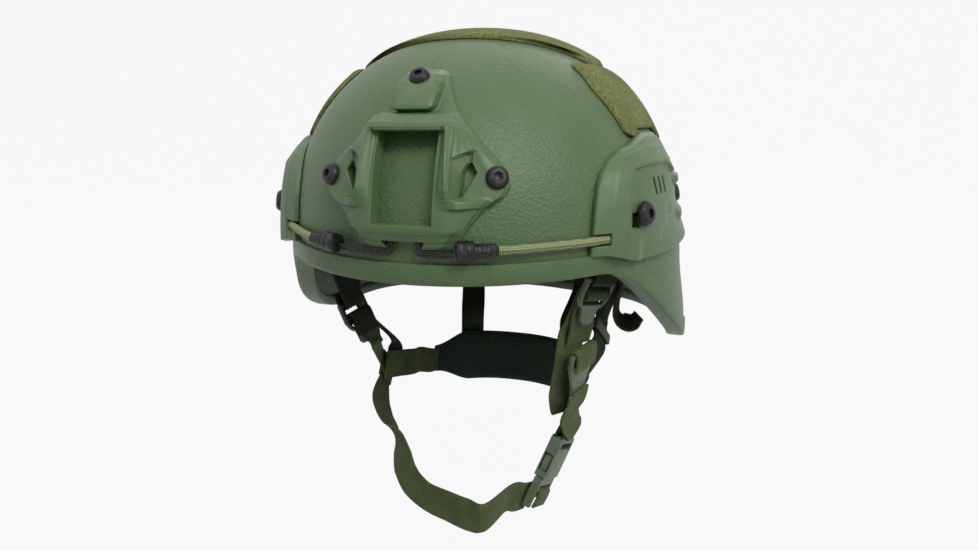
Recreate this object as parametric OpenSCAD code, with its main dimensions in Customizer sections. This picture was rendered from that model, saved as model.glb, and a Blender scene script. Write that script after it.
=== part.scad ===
// Ear-covering combat helmet held up as on a head.
// +Z up, brow and shroud face -Y, +X is the wearer's left, millimetres.
// The origin is the middle of the crown pad's underside, where the head carries the helmet.

/* [Shell] */
// Half width of the shell at its widest level
shell_half_w = 117; // [108:1:128]
// Reach of the shell forward of its middle
front_reach = 139; // [126:1:148]
// Reach of the shell behind its middle
back_reach = 133; // [122:1:144]
// Height of the crown above the widest level
crown_h = 117; // [106:1:126]
// Fullness of the dome, 2 is an ellipsoid
dome_m = 2.2; // [2:0.05:2.5]
// Thickness of the shell wall
shell_t = 8.5; // [7:0.5:10]
// Drop of the brow edge below the widest level
brow_drop = 7; // [4:1:14]
// Drop of the ear edge below the widest level
ear_drop = 71; // [60:1:82]
// Drop of the nape edge below the widest level
nape_drop = 80; // [66:1:92]
// Outward flare of the ear and nape edge
ear_flare = 14.5; // [9:0.5:17]

/* [Edge trim] */
// Height of the trim band on the outside of the shell
trim_h = 7.6; // [6:0.2:9]
// Height of the trim lip inside the shell
trim_in_h = 6; // [4:0.5:9]
// Thickness of the trim
trim_t = 1.6; // [1:0.1:2.5]

/* [Fits] */
// Gap between a fitted piece and the shell under it
seat_gap = 0.3; // [0.2:0.05:0.5]
// Gap between a moving piece and its guide
run_gap = 0.4; // [0.3:0.05:0.6]

/* [Shroud] */
// Level of the shroud's lower lobes above the widest level
shroud_z = 9; // [5:1:13]
// Height of the shroud from its lobes to its top
shroud_h = 82; // [74:1:90]
// Half width of the shroud across its wings
shroud_half_w = 47.8; // [43:0.2:52]
// Half width of the device window between the dovetail rails
window_half_w = 15; // [13:0.5:17]
// Half width of the front rim's opening
rim_half_w = 19.5; // [18.5:0.5:21]
// Stand-off of the front rim from the shell
rim_h = 11.5; // [9:0.5:13]
// Height of the dovetail rails
dovetail_h = 7.4; // [6:0.2:8.6]
// Height of the screw wings
wing_h = 5.2; // [4:0.2:7]
// Height of the rounded cap at the top screw
cap_h = 9.4; // [7:0.2:11]
// Half width of the cap
cap_half_w = 12.4; // [10.5:0.2:14]

/* [Screws] */
// Half the distance between the two lower shroud screws
screw_half_gap = 40.6; // [39:0.2:42]
// Diameter of a shroud screw head
screw_head_d = 10; // [8:0.5:11]
// Height of a shroud screw head
screw_head_h = 2.8; // [2:0.2:3.6]
// Diameter of the shanks
shank_d = 4; // [3.4:0.2:4.6]
// Diameter of a rail screw head
rail_head_d = 13; // [11:0.5:15]
// Height of a rail screw head
rail_head_h = 3.6; // [2.6:0.2:4.6]

/* [Side rails] */
// Angle of the rail's front edge from the brow
rail_front_a = 42.5; // [41:0.5:45]
// Angle of the rail's rear edge from the brow
rail_rear_a = 118; // [112:1:126]
// Level of the rail's lower edge
rail_low_z = -4; // [-5:0.5:0]
// Level of the rail's upper edge behind the horn
rail_high_z = 45; // [41:1:49]
// Extra height of the front horn
horn_h = 14; // [9:1:16]
// Stand-off of the rail's face
rail_face_h = 7.6; // [6.6:0.2:9]
// Stand-off of the rail's thinner rear part
rail_rear_h = 4.4; // [4:0.2:5.6]
// Height of the accessory ridges over the rear part
ridge_h = 2.8; // [2:0.2:4]
// Angle of the front rail screw
rail_screw_a = 57; // [55:0.5:59]
// Angle of the rear rail screw
rail_screw_b = 99; // [94:0.5:106]
// Level of the rail screws
rail_screw_z = 18.5; // [16:0.5:21]

/* [Loop patches] */
// Thickness of the loop fabric
patch_t = 2.2; // [1.4:0.1:3]
// Half width of the crown patch
crown_patch_w = 70; // [56:1:76]
// Reach of the crown patch forward of the middle
crown_patch_f = 61; // [50:1:66]
// Reach of the crown patch behind the middle
crown_patch_b = 58; // [44:1:70]
// Front end of the side patches forward of the middle
side_patch_f = 62; // [56:1:66]
// Rear end of the side patches behind the middle
side_patch_b = 24; // [12:1:34]

/* [Bungees] */
// Diameter of the elastic cord
cord_d = 4.2; // [3:0.2:5]
// Level of the cords
cord_z = 9; // [8:0.5:11]
// Diameter of the crimped sleeve
crimp_d = 8; // [6.5:0.5:9]
// Diameter of the hook wire
wire_d = 1.5; // [1.2:0.1:1.8]

/* [Pads] */
// Thickness of the suspension pads
pad_t = 19; // [15:1:22]
// Radius of the crown pad
crown_pad_r = 56; // [48:1:60]
// Radius of the flat seat in the crown pad's underside
seat_r = 34; // [28:1:38]

/* [Webbing] */
// Width of the webbing
web_w = 20; // [18:0.5:22]
// Thickness of the webbing
web_t = 1.6; // [1.2:0.1:2]
// Height of the nape pad
nape_pad_h = 42; // [36:1:48]
// Thickness of the nape pad
nape_pad_t = 9; // [6:0.5:12]

/* [Buckle] */
// Length of the buckle's female half
buckle_l = 28; // [26.5:0.5:31]
// Width of the buckle
buckle_w = 27; // [26:0.5:30]
// Thickness of the buckle
buckle_t = 9; // [8:0.5:11]

/* [Hidden] */
$fn = 16;
shell_seg = 48;
crown_in = crown_h - shell_t;
seat_z = crown_in - seat_gap - 0.9 - pad_t;
shell_green = [0.30, 0.40, 0.28];
loop_green = [0.45, 0.47, 0.29];
web_green = [0.33, 0.38, 0.25];
pad_dark = [0.13, 0.17, 0.15];
black = [0.08, 0.08, 0.09];

// node to build, or all

// ---- shell surface ----
function sm(a, b, x) = let (u = min(1, max(0, (x - a) / (b - a)))) u * u * (3 - 2 * u);
function mix(a, b, u) = a + (b - a) * u;
function unit(v) = v / norm(v);
function kz(z, o) =
    z <= 0 ? 1 : pow(max(0, 1 - pow(z / (crown_h + o), dome_m)), 1 / dome_m);
function reach(c) = c > 0 ? front_reach : back_reach;
function flare(t, z) =
    let (a = abs(t))
    ear_flare * sm(40, 88, a) * (1 - 0.4 * sm(110, 165, a))
        * (0.6 * sm(22, -14, z) + 0.4 * sm(-10, -62, z));
// point at angle t from the brow, level z, o outside the shell's outer face
function spot(t, z, o) =
    let (k = kz(z, o), f = o + flare(t, z))
    [(shell_half_w + f) * k * sin(t), -(reach(cos(t)) + f) * k * cos(t), z];
function rim_z(t) =
    let (a = abs(t))
    -mix(mix(brow_drop, ear_drop, sm(46, 95, a)), nape_drop, sm(110, 165, a));
function dome(t, e, o) =
    let (k = pow(cos(e), 2 / dome_m), z = pow(sin(e), 2 / dome_m))
    [(shell_half_w + o) * k * sin(t), -(reach(cos(t)) + o) * k * cos(t), (crown_h + o) * z];
function front(x, z, o) =
    let (k = kz(z, o), u = x / (shell_half_w + o))
    [x, -(front_reach + o) * sqrt(max(0, k * k - u * u)), z];
function side(s, y, z, o) =
    let (k = kz(z, o), u = y / (reach(-y) + o))
    [s * (shell_half_w + o) * sqrt(max(0, k * k - u * u)), y, z];
function top(x, y, o) =
    let (q = norm([x / (shell_half_w + o), y / (reach(-y) + o)]))
    [x, y, (crown_h + o) * pow(max(0, 1 - pow(q, dome_m)), 1 / dome_m)];
function normal(t, z) =
    unit(cross(spot(t + 1, z, 0) - spot(t - 1, z, 0), spot(t, z + 1, 0) - spot(t, z - 1, 0)));

// ---- solids from computed points ----
function flat(l) = [for (a = l) for (b = a) b];

// closed rings joined one to the next, each end closed by its middle
module skin(rings) {
    m = len(rings[0]);
    n = len(rings);
    mid0 = [for (k = [0:2]) [for (p = rings[0]) p[k]] * [for (p = rings[0]) 1 / m]];
    mid1 = [for (k = [0:2]) [for (p = rings[n - 1]) p[k]] * [for (p = rings[0]) 1 / m]];
    polyhedron(
        points = concat(flat(rings), [mid0, mid1]),
        faces = concat(
            flat([for (i = [0:n - 2]) for (j = [0:m - 1])
                let (a = i * m + j, b = i * m + (j + 1) % m) [[a, b + m, b], [a, a + m, b + m]]]),
            [for (j = [0:m - 1]) [n * m, j, (j + 1) % m]],
            [for (j = [0:m - 1]) [n * m + 1, (n - 1) * m + (j + 1) % m, (n - 1) * m + j]]));
}

// rings joined in a closed circle
module torus(rings) {
    m = len(rings[0]);
    n = len(rings);
    polyhedron(
        points = flat(rings),
        faces = flat([for (i = [0:n - 1]) for (j = [0:m - 1])
            let (a = i * m + j, b = i * m + (j + 1) % m,
                 c = ((i + 1) % n) * m + (j + 1) % m, d = ((i + 1) % n) * m + j)
            [[a, c, b], [a, d, c]]]));
}

// sheet between two grids of points, with the cells where keep() is 0 left open
module plate(up, low, keep) {
    r = len(up);
    c = len(up[0]);
    function on(i, j) = i < 0 || j < 0 || i > r - 2 || j > c - 2 ? 0 : keep[i][j];
    function id(i, j, s) = s * r * c + i * c + j;
    polyhedron(
        points = concat(flat(up), flat(low)),
        faces = flat([for (i = [0:r - 2]) for (j = [0:c - 2]) if (on(i, j) == 1)
            concat(
                [[id(i, j, 0), id(i + 1, j + 1, 0), id(i, j + 1, 0)],
                 [id(i, j, 0), id(i + 1, j, 0), id(i + 1, j + 1, 0)],
                 [id(i, j, 1), id(i, j + 1, 1), id(i + 1, j + 1, 1)],
                 [id(i, j, 1), id(i + 1, j + 1, 1), id(i + 1, j, 1)]],
                on(i - 1, j) == 1 ? [] :
                    [[id(i, j, 0), id(i, j + 1, 1), id(i, j, 1)],
                     [id(i, j, 0), id(i, j + 1, 0), id(i, j + 1, 1)]],
                on(i + 1, j) == 1 ? [] :
                    [[id(i + 1, j, 0), id(i + 1, j + 1, 1), id(i + 1, j + 1, 0)],
                     [id(i + 1, j, 0), id(i + 1, j, 1), id(i + 1, j + 1, 1)]],
                on(i, j - 1) == 1 ? [] :
                    [[id(i, j, 0), id(i + 1, j, 1), id(i + 1, j, 0)],
                     [id(i, j, 0), id(i, j, 1), id(i + 1, j, 1)]],
                on(i, j + 1) == 1 ? [] :
                    [[id(i, j + 1, 0), id(i + 1, j + 1, 1), id(i, j + 1, 1)],
                     [id(i, j + 1, 0), id(i + 1, j + 1, 0), id(i + 1, j + 1, 1)]])]));
}

function all_on(r, c) = [for (i = [1:r]) [for (j = [1:c]) 1]];

// smooth curve through the points, n steps between two of them
function curve(p, n) =
    let (m = len(p))
    concat([for (i = [0:m - 2]) for (s = [0:n - 1])
        let (u = s / n, a = p[max(0, i - 1)], b = p[i], c = p[i + 1], d = p[min(m - 1, i + 2)])
        0.5 * (2 * b + (c - a) * u + (2 * a - 5 * b + 4 * c - d) * u * u
            + (3 * b - a - 3 * c + d) * u * u * u)], [p[m - 1]]);
function along(p, i) = unit(p[min(len(p) - 1, i + 1)] - p[max(0, i - 1)]);

// webbing: centre line p, width direction at every point w, width, thickness
module ribbon(p, w, wide, thick) {
    skin([for (i = [0:len(p) - 1])
        let (t = along(p, i), n = unit(cross(t, w[i])), b = unit(cross(n, t)))
        [p[i] + b * wide / 2 + n * thick / 2, p[i] - b * wide / 2 + n * thick / 2,
         p[i] - b * wide / 2 - n * thick / 2, p[i] + b * wide / 2 - n * thick / 2]]);
}

// round cord along p
module cord(p, d, sides) {
    skin([for (i = [0:len(p) - 1])
        let (t = along(p, i), n = unit(cross(t, [0.01, 0.02, 1])), b = cross(n, t))
        [for (j = [0:sides - 1]) let (a = -360 * j / sides) p[i] + d / 2 * (n * cos(a) + b * sin(a))]]);
}

module place() {
    translate([0, 0, -seat_z]) children();
}

// stands children on the shell at angle t, level z, o outside it, Z outwards
module on_shell(t, z, o) {
    n = normal(t, z);
    p = spot(t, z, 0) + n * o;
    translate(p) rotate([0, acos(n[2]), atan2(n[1], n[0])]) children();
}

// ---- shell and trim ----
module shell() {
    up = [76, 62, 48, 35, 23];
    over = [26, 19, 12, 6];
    down = [0, 0.22, 0.44, 0.66, 0.84, 1];
    ts = [for (i = [0:shell_seg - 1]) 360 * i / shell_seg - 180];
    rings = concat(
        [for (e = up) [for (t = ts) dome(t, e, 0)]],
        [for (z = over) [for (t = ts) spot(t, z, 0)]],
        [for (f = down) [for (t = ts) spot(t, rim_z(t) * f, 0)]],
        [for (i = [5:-1:0]) [for (t = ts) spot(t, rim_z(t) * down[i], -shell_t)]],
        [for (i = [3:-1:0]) [for (t = ts) spot(t, over[i], -shell_t)]],
        [for (i = [4:-1:0]) [for (t = ts) dome(t, up[i], -shell_t)]]);
    n = len(rings);
    m = shell_seg;
    holes = [[0, shroud_z + shroud_top_at], [rail_screw_b, rail_screw_z],
             [-rail_screw_b, rail_screw_z], [rail_screw_a, rail_screw_z],
             [-rail_screw_a, rail_screw_z], [wing_a, shroud_z + wing_at],
             [-wing_a, shroud_z + wing_at]];
    color(shell_green) place() difference() {
        polyhedron(
            points = concat(flat(rings), [[0, 0, crown_h], [0, 0, crown_in]]),
            faces = concat(
                flat([for (i = [0:n - 2]) for (j = [0:m - 1])
                    let (a = i * m + j, b = i * m + (j + 1) % m)
                    [[a, b, b + m], [a, b + m, a + m]]]),
                [for (j = [0:m - 1]) [n * m, (j + 1) % m, j]],
                [for (j = [0:m - 1]) [n * m + 1, (n - 1) * m + j, (n - 1) * m + (j + 1) % m]]));
        for (h = holes)
            on_shell(h[0], h[1], -shell_t - 6) cylinder(d = shank_d + 2 * run_gap, h = shell_t + 16);
    }
}

module edge_trim() {
    n = shell_seg;
    c = seat_gap;
    t0 = c + trim_t;
    rings = [for (i = [0:n - 1])
        let (t = 360 * i / n - 180, r = rim_z(t))
        [spot(t, r + trim_h, c), spot(t, r + trim_h - 0.8, t0), spot(t, r - c, t0),
         spot(t, r - t0, c - 1), spot(t, r - t0, 1 - shell_t - c),
         spot(t, r - c, -shell_t - t0), spot(t, r + trim_in_h, -shell_t - t0),
         spot(t, r + trim_in_h, -shell_t - c), spot(t, r - c, -shell_t - c),
         spot(t, r - c, c)]];
    color(shell_green) place() torus(rings);
}

// ---- shroud ----
wing_at = 31.7 * shroud_h / 82;
shroud_top_at = 74.6 * shroud_h / 82;
wing_a = asin(screw_half_gap / (shell_half_w * kz(shroud_z + wing_at, 0)));
function shroud_edge(h) =
    shroud_half_w / 47.8 * lookup(h,
        [[0, 21], [1.4, 24.5], [3, 26], [8.5, 28], [17, 34.5], [24.5, 44], [27.5, 46.8],
         [31.7, 47.8], [35, 45.6], [46.5, 34.5], [65.5, 17.8], [72, 14.6], [78, 12.4],
         [80.6, 10], [82, 6.5]]);
module shroud() {
    // levels above the lobes, for a shroud 82 high
    hs = [0, 1.4, 4.5, 8.5, 11.5, 15.5, 18.5, 25, 27.5, 33.5, 38.5, 43, 48, 52.5, 56.5,
          59.4, 60.6, 62, 67, 72, 76.5, 80, 82];
    f = [0.17, 0.44, 0.52, 0.93, 1];
    function level(h) = shroud_z + h * shroud_h / 82;
    function cols(h) =
        let (e = shroud_edge(h), s = min(1, (e - 1.5) / (rim_half_w + 3.5)),
             q = min(1, (e - 0.8) / cap_half_w), lob = h < 6 ? 12 / window_half_w : 1,
             pk = h > 25 && h < 40 ? 2.4 * abs(h - 33) / 6 : 0)
        h < 60 ?
            concat([0, 8 * s, window_half_w * lob * s, (window_half_w + 1.6) * s,
                    (window_half_w + 2.2) * s, (rim_half_w - 0.7) * s, rim_half_w * s,
                    (rim_half_w + 3.5) * s],
                [for (k = [0:4]) let (c = (rim_half_w + 3.5) * s, x = mix(c, e, f[k]))
                    k == 0 ? x + pk : x]) :
            let (w = cap_half_w * q)
            concat([0, w * 0.45, w * (h < 61 ? 0.72 : 0.84), w * (h < 61 ? 0.82 : 0.93), w],
                [for (k = [1:8]) mix(w, e, k / 8)]);
    function tall(j, h, e) =
        let (rim = h < 6 ? mix(4.2, dovetail_h, h / 8.5) : h < 17 ? dovetail_h :
                 h < 58 ? rim_h : 4.6,
             low = h < 6 ? rim : h < 9 ? dovetail_h : h > 50 && h < 58 ? rim_h : 4.6,
             rail = min(rim, dovetail_h))
        h < 60 ?
            (j < 4 ? (h > 50 || h < 10 ? rim : low) :
             j < 6 ? (h > 50 || h < 10 ? rim : rail) :
             j < 8 ? rim :
             j == 12 ? 2 :
             h > 24 && h < 39 ? (j < 10 ? 3 : wing_h) :
             mix(rim, 3.4, (j - 7) / 4.4)) :
            (j == 12 ? 2 :
             j < 3 ? (h > 81.9 ? 3 : cap_h) :
             j == 3 ? (h > 81.9 ? 3 : cap_h - 1) : 4.2);
    grid = [for (h = hs) let (c = cols(h)) [for (j = [-12:12])
        front(sign(j) * c[abs(j)], level(h), seat_gap + tall(abs(j), h, shroud_edge(h)))]];
    base = [for (h = hs) let (c = cols(h)) [for (j = [-12:12])
        front(sign(j) * c[abs(j)], level(h), seat_gap)]];
    keep = [for (i = [0:len(hs) - 2]) [for (j = [-12:11])
        let (a = j < 0 ? -j - 1 : j, h = (hs[i] + hs[i + 1]) / 2)
        h < 4.4 && a < 2 ? 0 :
        h > 11.5 && h < 52 && a < 2 ? 0 :
        h > 27 && h < 39 && a == 8 ? 0 : 1]];
    color(shell_green) place() difference() {
        plate(grid, base, keep);
        on_shell(0, shroud_z + shroud_top_at, -4) cylinder(d = shank_d + 2 * run_gap, h = 24);
        for (s = [-1, 1])
            on_shell(s * wing_a, shroud_z + wing_at, -4) cylinder(d = shank_d + 2 * run_gap, h = 18);
    }
}

// button-head screw with a hex socket, seat at Z 0, shank down
module screw(d, h, shank) {
    difference() {
        rotate_extrude() polygon([[0, -shank], [shank_d / 2, -shank], [shank_d / 2, 0],
            [d / 2, 0], [d / 2, h * 0.3], [d * 0.42, h * 0.72], [d * 0.28, h], [0, h]]);
        translate([0, 0, h - min(1.8, h * 0.6)]) cylinder(d = d * 0.32, h = 3, $fn = 6);
    }
}

module shroud_screw_top() {
    color(black) place() on_shell(0, shroud_z + shroud_top_at, cap_h + 2 * seat_gap + 0.1)
        screw(screw_head_d, screw_head_h, cap_h + shell_t);
}
module shroud_screw_left() {
    color(black) place() on_shell(wing_a, shroud_z + wing_at, wing_h + 2 * seat_gap)
        screw(screw_head_d, screw_head_h, wing_h + shell_t);
}
module shroud_screw_right() {
    color(black) place() on_shell(-wing_a, shroud_z + wing_at, wing_h + 2 * seat_gap)
        screw(screw_head_d, screw_head_h, wing_h + shell_t);
}

// ---- side rails ----
// how far along the rail its bungee notch and its thick front part reach
notch_u = 0.065;
thick_u = 0.42;
function rail_a(u, v) = mix(rail_front_a + 3 * v + 10 * pow(v, 6), rail_rear_a, u);
module rail(s) {
    us = [0, notch_u, 0.12, 0.2, 0.263, 0.275, 0.298, 0.31, 0.333, 0.345, 0.38, thick_u, 0.47,
          0.5, 0.52, 0.62, 0.69, 0.79, 0.86, 0.95, 1];
    vs = [0, 0.04, 0.095, 0.21, 0.27, 0.32, 0.38, 0.5, 0.64, 0.69, 0.77, 0.81, 0.9, 1];
    c = len(us) - 1;
    r = len(vs) - 1;
    function zlow(u) = rail_low_z + 5.4 * (1 - sm(0.05, 0.18, u)) + 5 * sm(0.3, 1, u);
    function zhigh(u) = rail_high_z + horn_h * (0.46 * (1 - sm(0.38, 0.47, u))
        + 0.54 * sm(-0.02, 0.22, u) * (1 - sm(0.33, 0.47, u))) - 10 * sm(0.9, 1, u);
    function tall(i, j) =
        let (v = vs[i], u = us[j],
             thin = (u > 0.19 && v < 0.1) || (u > 0.3 && v < 0.25) || (u > 0.35 && v < 0.35))
        i == 0 || j == 0 ? 1.6 : i == r || j == c ? 2.4 :
        u < 0.43 && !thin ? rail_face_h + (v > 0.89 ? 1.2 : 0) :
        rail_rear_h + (u < 0.51 || (u > 0.68 && u < 0.8) ? 0 : v > 0.68 && v < 0.78 ? ridge_h :
            v > 0.26 && v < 0.33 ? ridge_h * 0.7 : 0);
    function at(i, j, o) =
        let (v = vs[i], u = us[j],
             lean = u < 0.25 || u > 0.35 || v < 0.45 || v > 0.65 ? 0 : (0.57 - v) * 11)
        spot(s * (rail_a(u, v) + lean), mix(zlow(u), zhigh(u), v), o);
    function col(j) = s > 0 ? j : c - j;
    g = [for (i = [0:r]) [for (j = [0:c]) at(i, col(j), seat_gap + tall(i, col(j)))]];
    b = [for (i = [0:r]) [for (j = [0:c]) at(i, col(j), seat_gap + 0.2)]];
    keep = [for (i = [0:r - 1]) [for (q = [0:c - 1])
        let (j = s > 0 ? q : c - 1 - q)
        i == 7 && (j == 4 || j == 6 || j == 8) ? 0 : i == 2 && j == 0 ? 0 : 1]];
    color(shell_green) place() difference() {
        plate(g, b, keep);
        for (t = [rail_screw_a, rail_screw_b])
            on_shell(s * t, rail_screw_z, -4) cylinder(d = shank_d + 2 * run_gap, h = 24);
    }
}
module rail_left() { rail(1); }
module rail_right() { rail(-1); }
module rail_screw(t, seat) {
    color(black) place() on_shell(t, rail_screw_z, seat + 2 * seat_gap + 0.1)
        screw(rail_head_d, rail_head_h, seat - under_nut);
}
module rail_screw_front_left() { rail_screw(rail_screw_a, rail_face_h); }
module rail_screw_front_right() { rail_screw(-rail_screw_a, rail_face_h); }
module rail_screw_rear_left() { rail_screw(rail_screw_b, rail_rear_h); }
module rail_screw_rear_right() { rail_screw(-rail_screw_b, rail_rear_h); }

// ---- loop patches ----
patch_gap = seat_gap + 0.2;
// v from -1 to 1 with its ends closer, and how far a side draws in at v for round corners
function ends(i, n) = let (u = 2 * i / n - 1) sign(u) * (1 - pow(1 - abs(u), 1.7));
function round_in(v, r) =
    let (q = max(0, abs(v) - 1 + r) / r) 1 - r * (1 - sqrt(max(0, 1 - q * q)));
module crown_patch() {
    n = 10;
    function x(i, j) = crown_patch_w * (2 * j / n - 1) * round_in(ends(i, n), 0.24);
    function y(i, j) =
        let (a = 2 * j / n - 1, f = -crown_patch_f + 24 * a * a, b = crown_patch_b - 16 * a * a)
        mix(f, b, 0.5 + 0.5 * ends(i, n));
    function at(o) = [for (i = [n:-1:0]) [for (j = [n:-1:0]) top(x(i, j), y(i, j), o)]];
    color(loop_green) place() plate(at(patch_gap + patch_t), at(patch_gap), all_on(n, n));
}
module side_patch(s) {
    n = 8;
    m = 8;
    mid = (side_patch_b - side_patch_f) / 2;
    half = (side_patch_b + side_patch_f) / 2;
    function y(i, j) = mid + half * (2 * j / n - 1) * round_in(ends(i, m), 0.16);
    function z(i, j) =
        let (u = j / n, low = rail_high_z + horn_h - 2 + 4 * sm(0, 0.14, u) - 7 * sm(0.5, 0.8, u),
             high = 89 - 8 * sm(0.4, 1, u))
        mix(low, high, 0.5 + 0.5 * ends(i, m));
    function at(o) = [for (i = [0:m]) [for (q = [0:n])
        let (j = s > 0 ? q : n - q) side(s, y(i, j), z(i, j), o)]];
    color(loop_green) place() plate(at(patch_gap + patch_t), at(patch_gap), all_on(m, n));
}
module side_patch_left() { side_patch(1); }
module side_patch_right() { side_patch(-1); }
module rear_patch() {
    function at(o) = [for (i = [0:5]) [for (j = [0:10])
        spot(180 - 32 * (1 - j / 5) * round_in(ends(i, 5), 0.2), 47 + 23 * ends(i, 5), o)]];
    color(loop_green) place() plate(at(patch_gap + patch_t), at(patch_gap), all_on(5, 10));
}

// ---- bungees ----
// the left cord's sleeve sits nearer the middle than the right one's
cord_o = cord_d / 2 + seat_gap + 0.6;
crimp_o = crimp_d / 2 + 1.1;
function crimp_a(s) = s > 0 ? 12.9 : 17.6;
crimp_span = 8.6;
module bungee(s) {
    a = crimp_a(s) + crimp_span + 0.2;
    b = rail_a(notch_u, 0.2) - 0.3;
    color([0.47, 0.52, 0.33]) place() cord([for (i = [0:12])
        spot(s * mix(a, b, i / 12), cord_z, mix(crimp_o, cord_o, sm(0, 6, i)))], cord_d, 10);
}
module bungee_left() { bungee(1); }
module bungee_right() { bungee(-1); }
module crimp(s) {
    f = [0, 0.42, 0.44, 0.7, 1];
    color(black) place() skin([for (i = [0:4])
        let (t = crimp_a(s) + crimp_span * f[i], d = i < 2 ? crimp_d + 1.4 : crimp_d - 1,
             c = spot(s * t, cord_z, crimp_o), n = normal(s * t, cord_z))
        [for (j = [0:9]) let (a = -s * 36 * j) c + d / 2 * (n * cos(a) + [0, 0, 1] * sin(a))]]);
}
module crimp_left() { crimp(1); }
module crimp_right() { crimp(-1); }
// wire ring from the sleeve under the shroud's lobe and up round its inner edge
module hook(s) {
    x0 = shell_half_w * sin(crimp_a(s)) - 0.9;
    x = [x0, mix(9, x0, 0.66), mix(9, x0, 0.3), 10.4, 8.8, 7.7, 6.6, 5.8, 5.7, 7, 10,
         mix(9, x0, 0.4), mix(9, x0, 0.7), x0];
    z = [-1.5, -1.7, -1.9, -1.6, -0.4, 1.6, 2.5, 1.4, -1.2, -3.4, -4.4, -4.5, -4.4, -4];
    o = [5, 4, 3.4, 2.9, 2.6, 2.4, 2.4, 2.5, 2.9, 3.3, 3.5, 3.7, 4.2, 5];
    color(black) place() cord([for (i = [0:13]) front(s * x[i], shroud_z + z[i], o[i])], wire_d, 8);
}
module hook_left() { hook(1); }
module hook_right() { hook(-1); }

// ---- suspension pads ----
in_o = -shell_t - seat_gap - 0.9;
module crown_pad() {
    rr = [0.25, 0.5, 0.75, 0.93, 1];
    n = 20;
    function up(r, a) = top(crown_pad_r * r * cos(a), -crown_pad_r * r * sin(a), in_o);
    function low(r, a) =
        [crown_pad_r * r * cos(a), -crown_pad_r * r * sin(a),
         seat_z + 7 * pow(max(0, r - seat_r / crown_pad_r), 1.6)];
    rings = concat([for (r = rr) [for (i = [0:n - 1]) up(r, 360 * i / n)]],
        [for (r = [1, 0.93, 0.8, seat_r / crown_pad_r])
            [for (i = [0:n - 1]) low(r, 360 * i / n) + [0, 0, r == 1 ? 5 : 0]]]);
    color(pad_dark) place() skin(rings);
}
module pad(tc, zc, wide, high) {
    n = 7;
    e = [0, 0.07, 0.25, 0.5, 0.75, 0.93, 1];
    span = wide / 2 / 118 * 57.3;
    function puff(i, j) = pad_t * (i == 0 || i == 6 || j == 0 || j == 6 ? 0.35 :
        i == 1 || i == 5 || j == 1 || j == 5 ? 0.82 : 1);
    function t(i, j) = tc + span * (2 * e[j] - 1) * (i == 0 || i == 6 ? 0.93 : 1);
    function z(i, j) = zc + high / 2 * (2 * e[i] - 1) * (j == 0 || j == 6 ? 0.9 : 1);
    up = [for (i = [0:6]) [for (j = [0:6]) spot(t(i, j), z(i, j), in_o)]];
    low = [for (i = [0:6]) [for (j = [0:6]) spot(t(i, j), z(i, j), in_o - puff(i, j))]];
    color(pad_dark) place() plate(up, low, all_on(6, 6));
}
module front_pad() { pad(0, 28, 92, 48); }
module rear_pad() { pad(180, -22, 92, 54); }
module side_pad_front_left() { pad(80, 34, 58, 40); }
module side_pad_front_right() { pad(-80, 34, 58, 40); }
module side_pad_rear_left() { pad(124, 0, 62, 44); }
module side_pad_rear_right() { pad(-124, 0, 62, 44); }

// ---- harness ----
rear_nut_a = 152;
rear_nut_z = -22;
nut_h = 2.6;
// levels under the shell's outer face: middle of a strap's end, nut, and the nut's far face
strap_o = -(shell_t + seat_gap + 0.8 + web_t / 2);
nut_o = strap_o - web_t / 2 - seat_gap - 0.2;
under_nut = nut_o - nut_h + 0.4;
module nut(t, z) {
    color(black) place() on_shell(t, z, nut_o)
        rotate([180, 0, 0]) difference() {
            cylinder(d = 15, h = nut_h);
            translate([0, 0, -1]) cylinder(d = shank_d + 2 * run_gap, h = nut_h + 3);
        }
}
module strap_nut_front_left() { nut(rail_screw_a, rail_screw_z); }
module strap_nut_front_right() { nut(-rail_screw_a, rail_screw_z); }
module strap_nut_side_left() { nut(rail_screw_b, rail_screw_z); }
module strap_nut_side_right() { nut(-rail_screw_b, rail_screw_z); }
module strap_nut_rear_left() { nut(rear_nut_a, rear_nut_z); }
module strap_nut_rear_right() { nut(-rear_nut_a, rear_nut_z); }
// a strap's end held between shell and nut at angle t, level z, leaving the shell by lean below it
function strap_end(t, z, lean, slant) =
    [spot(t - 8 * slant, z + 8, strap_o), spot(t, z, strap_o), spot(t + 9 * slant, z - 9, strap_o - 0.6),
     spot(t + 21 * slant, z - 21, strap_o - lean)];
module strap_hole(t, z) {
    on_shell(t, z, strap_o - 4) cylinder(d = shank_d + 2 * run_gap, h = 8);
}

// moves children to p, with their X along x and their Y towards y
module at_frame(p, x, y) {
    u = unit(x);
    v = unit(y - u * (y * u));
    w = cross(u, v);
    multmatrix([[u[0], v[0], w[0], p[0]], [u[1], v[1], w[1], p[1]], [u[2], v[2], w[2], p[2]],
        [0, 0, 0, 1]]) children();
}
function in_frame(p, x, y, q) =
    let (u = unit(x), v = unit(y - u * (y * u)), w = cross(u, v)) p + u * q[0] + v * q[1] + w * q[2];
// width directions along a curve with n steps between the points that ws belongs to
function steer(ws, n) =
    [for (i = [0:(len(ws) - 1) * n])
        let (k = min(len(ws) - 2, floor(i / n))) unit(mix(unit(ws[k]), unit(ws[k + 1]), i / n - k))];
// webbing along a curve through pts
module strap(pts, ws) {
    ribbon(curve(pts, 2), steer(ws, 2), web_w, web_t);
}

// a harness point, which follows the shell's half width, reach and height
function fit(p) =
    [p[0] * shell_half_w / 117, p[1] * reach(-p[1]) / (p[1] < 0 ? 139 : 133), p[2] * crown_h / 117];

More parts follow.
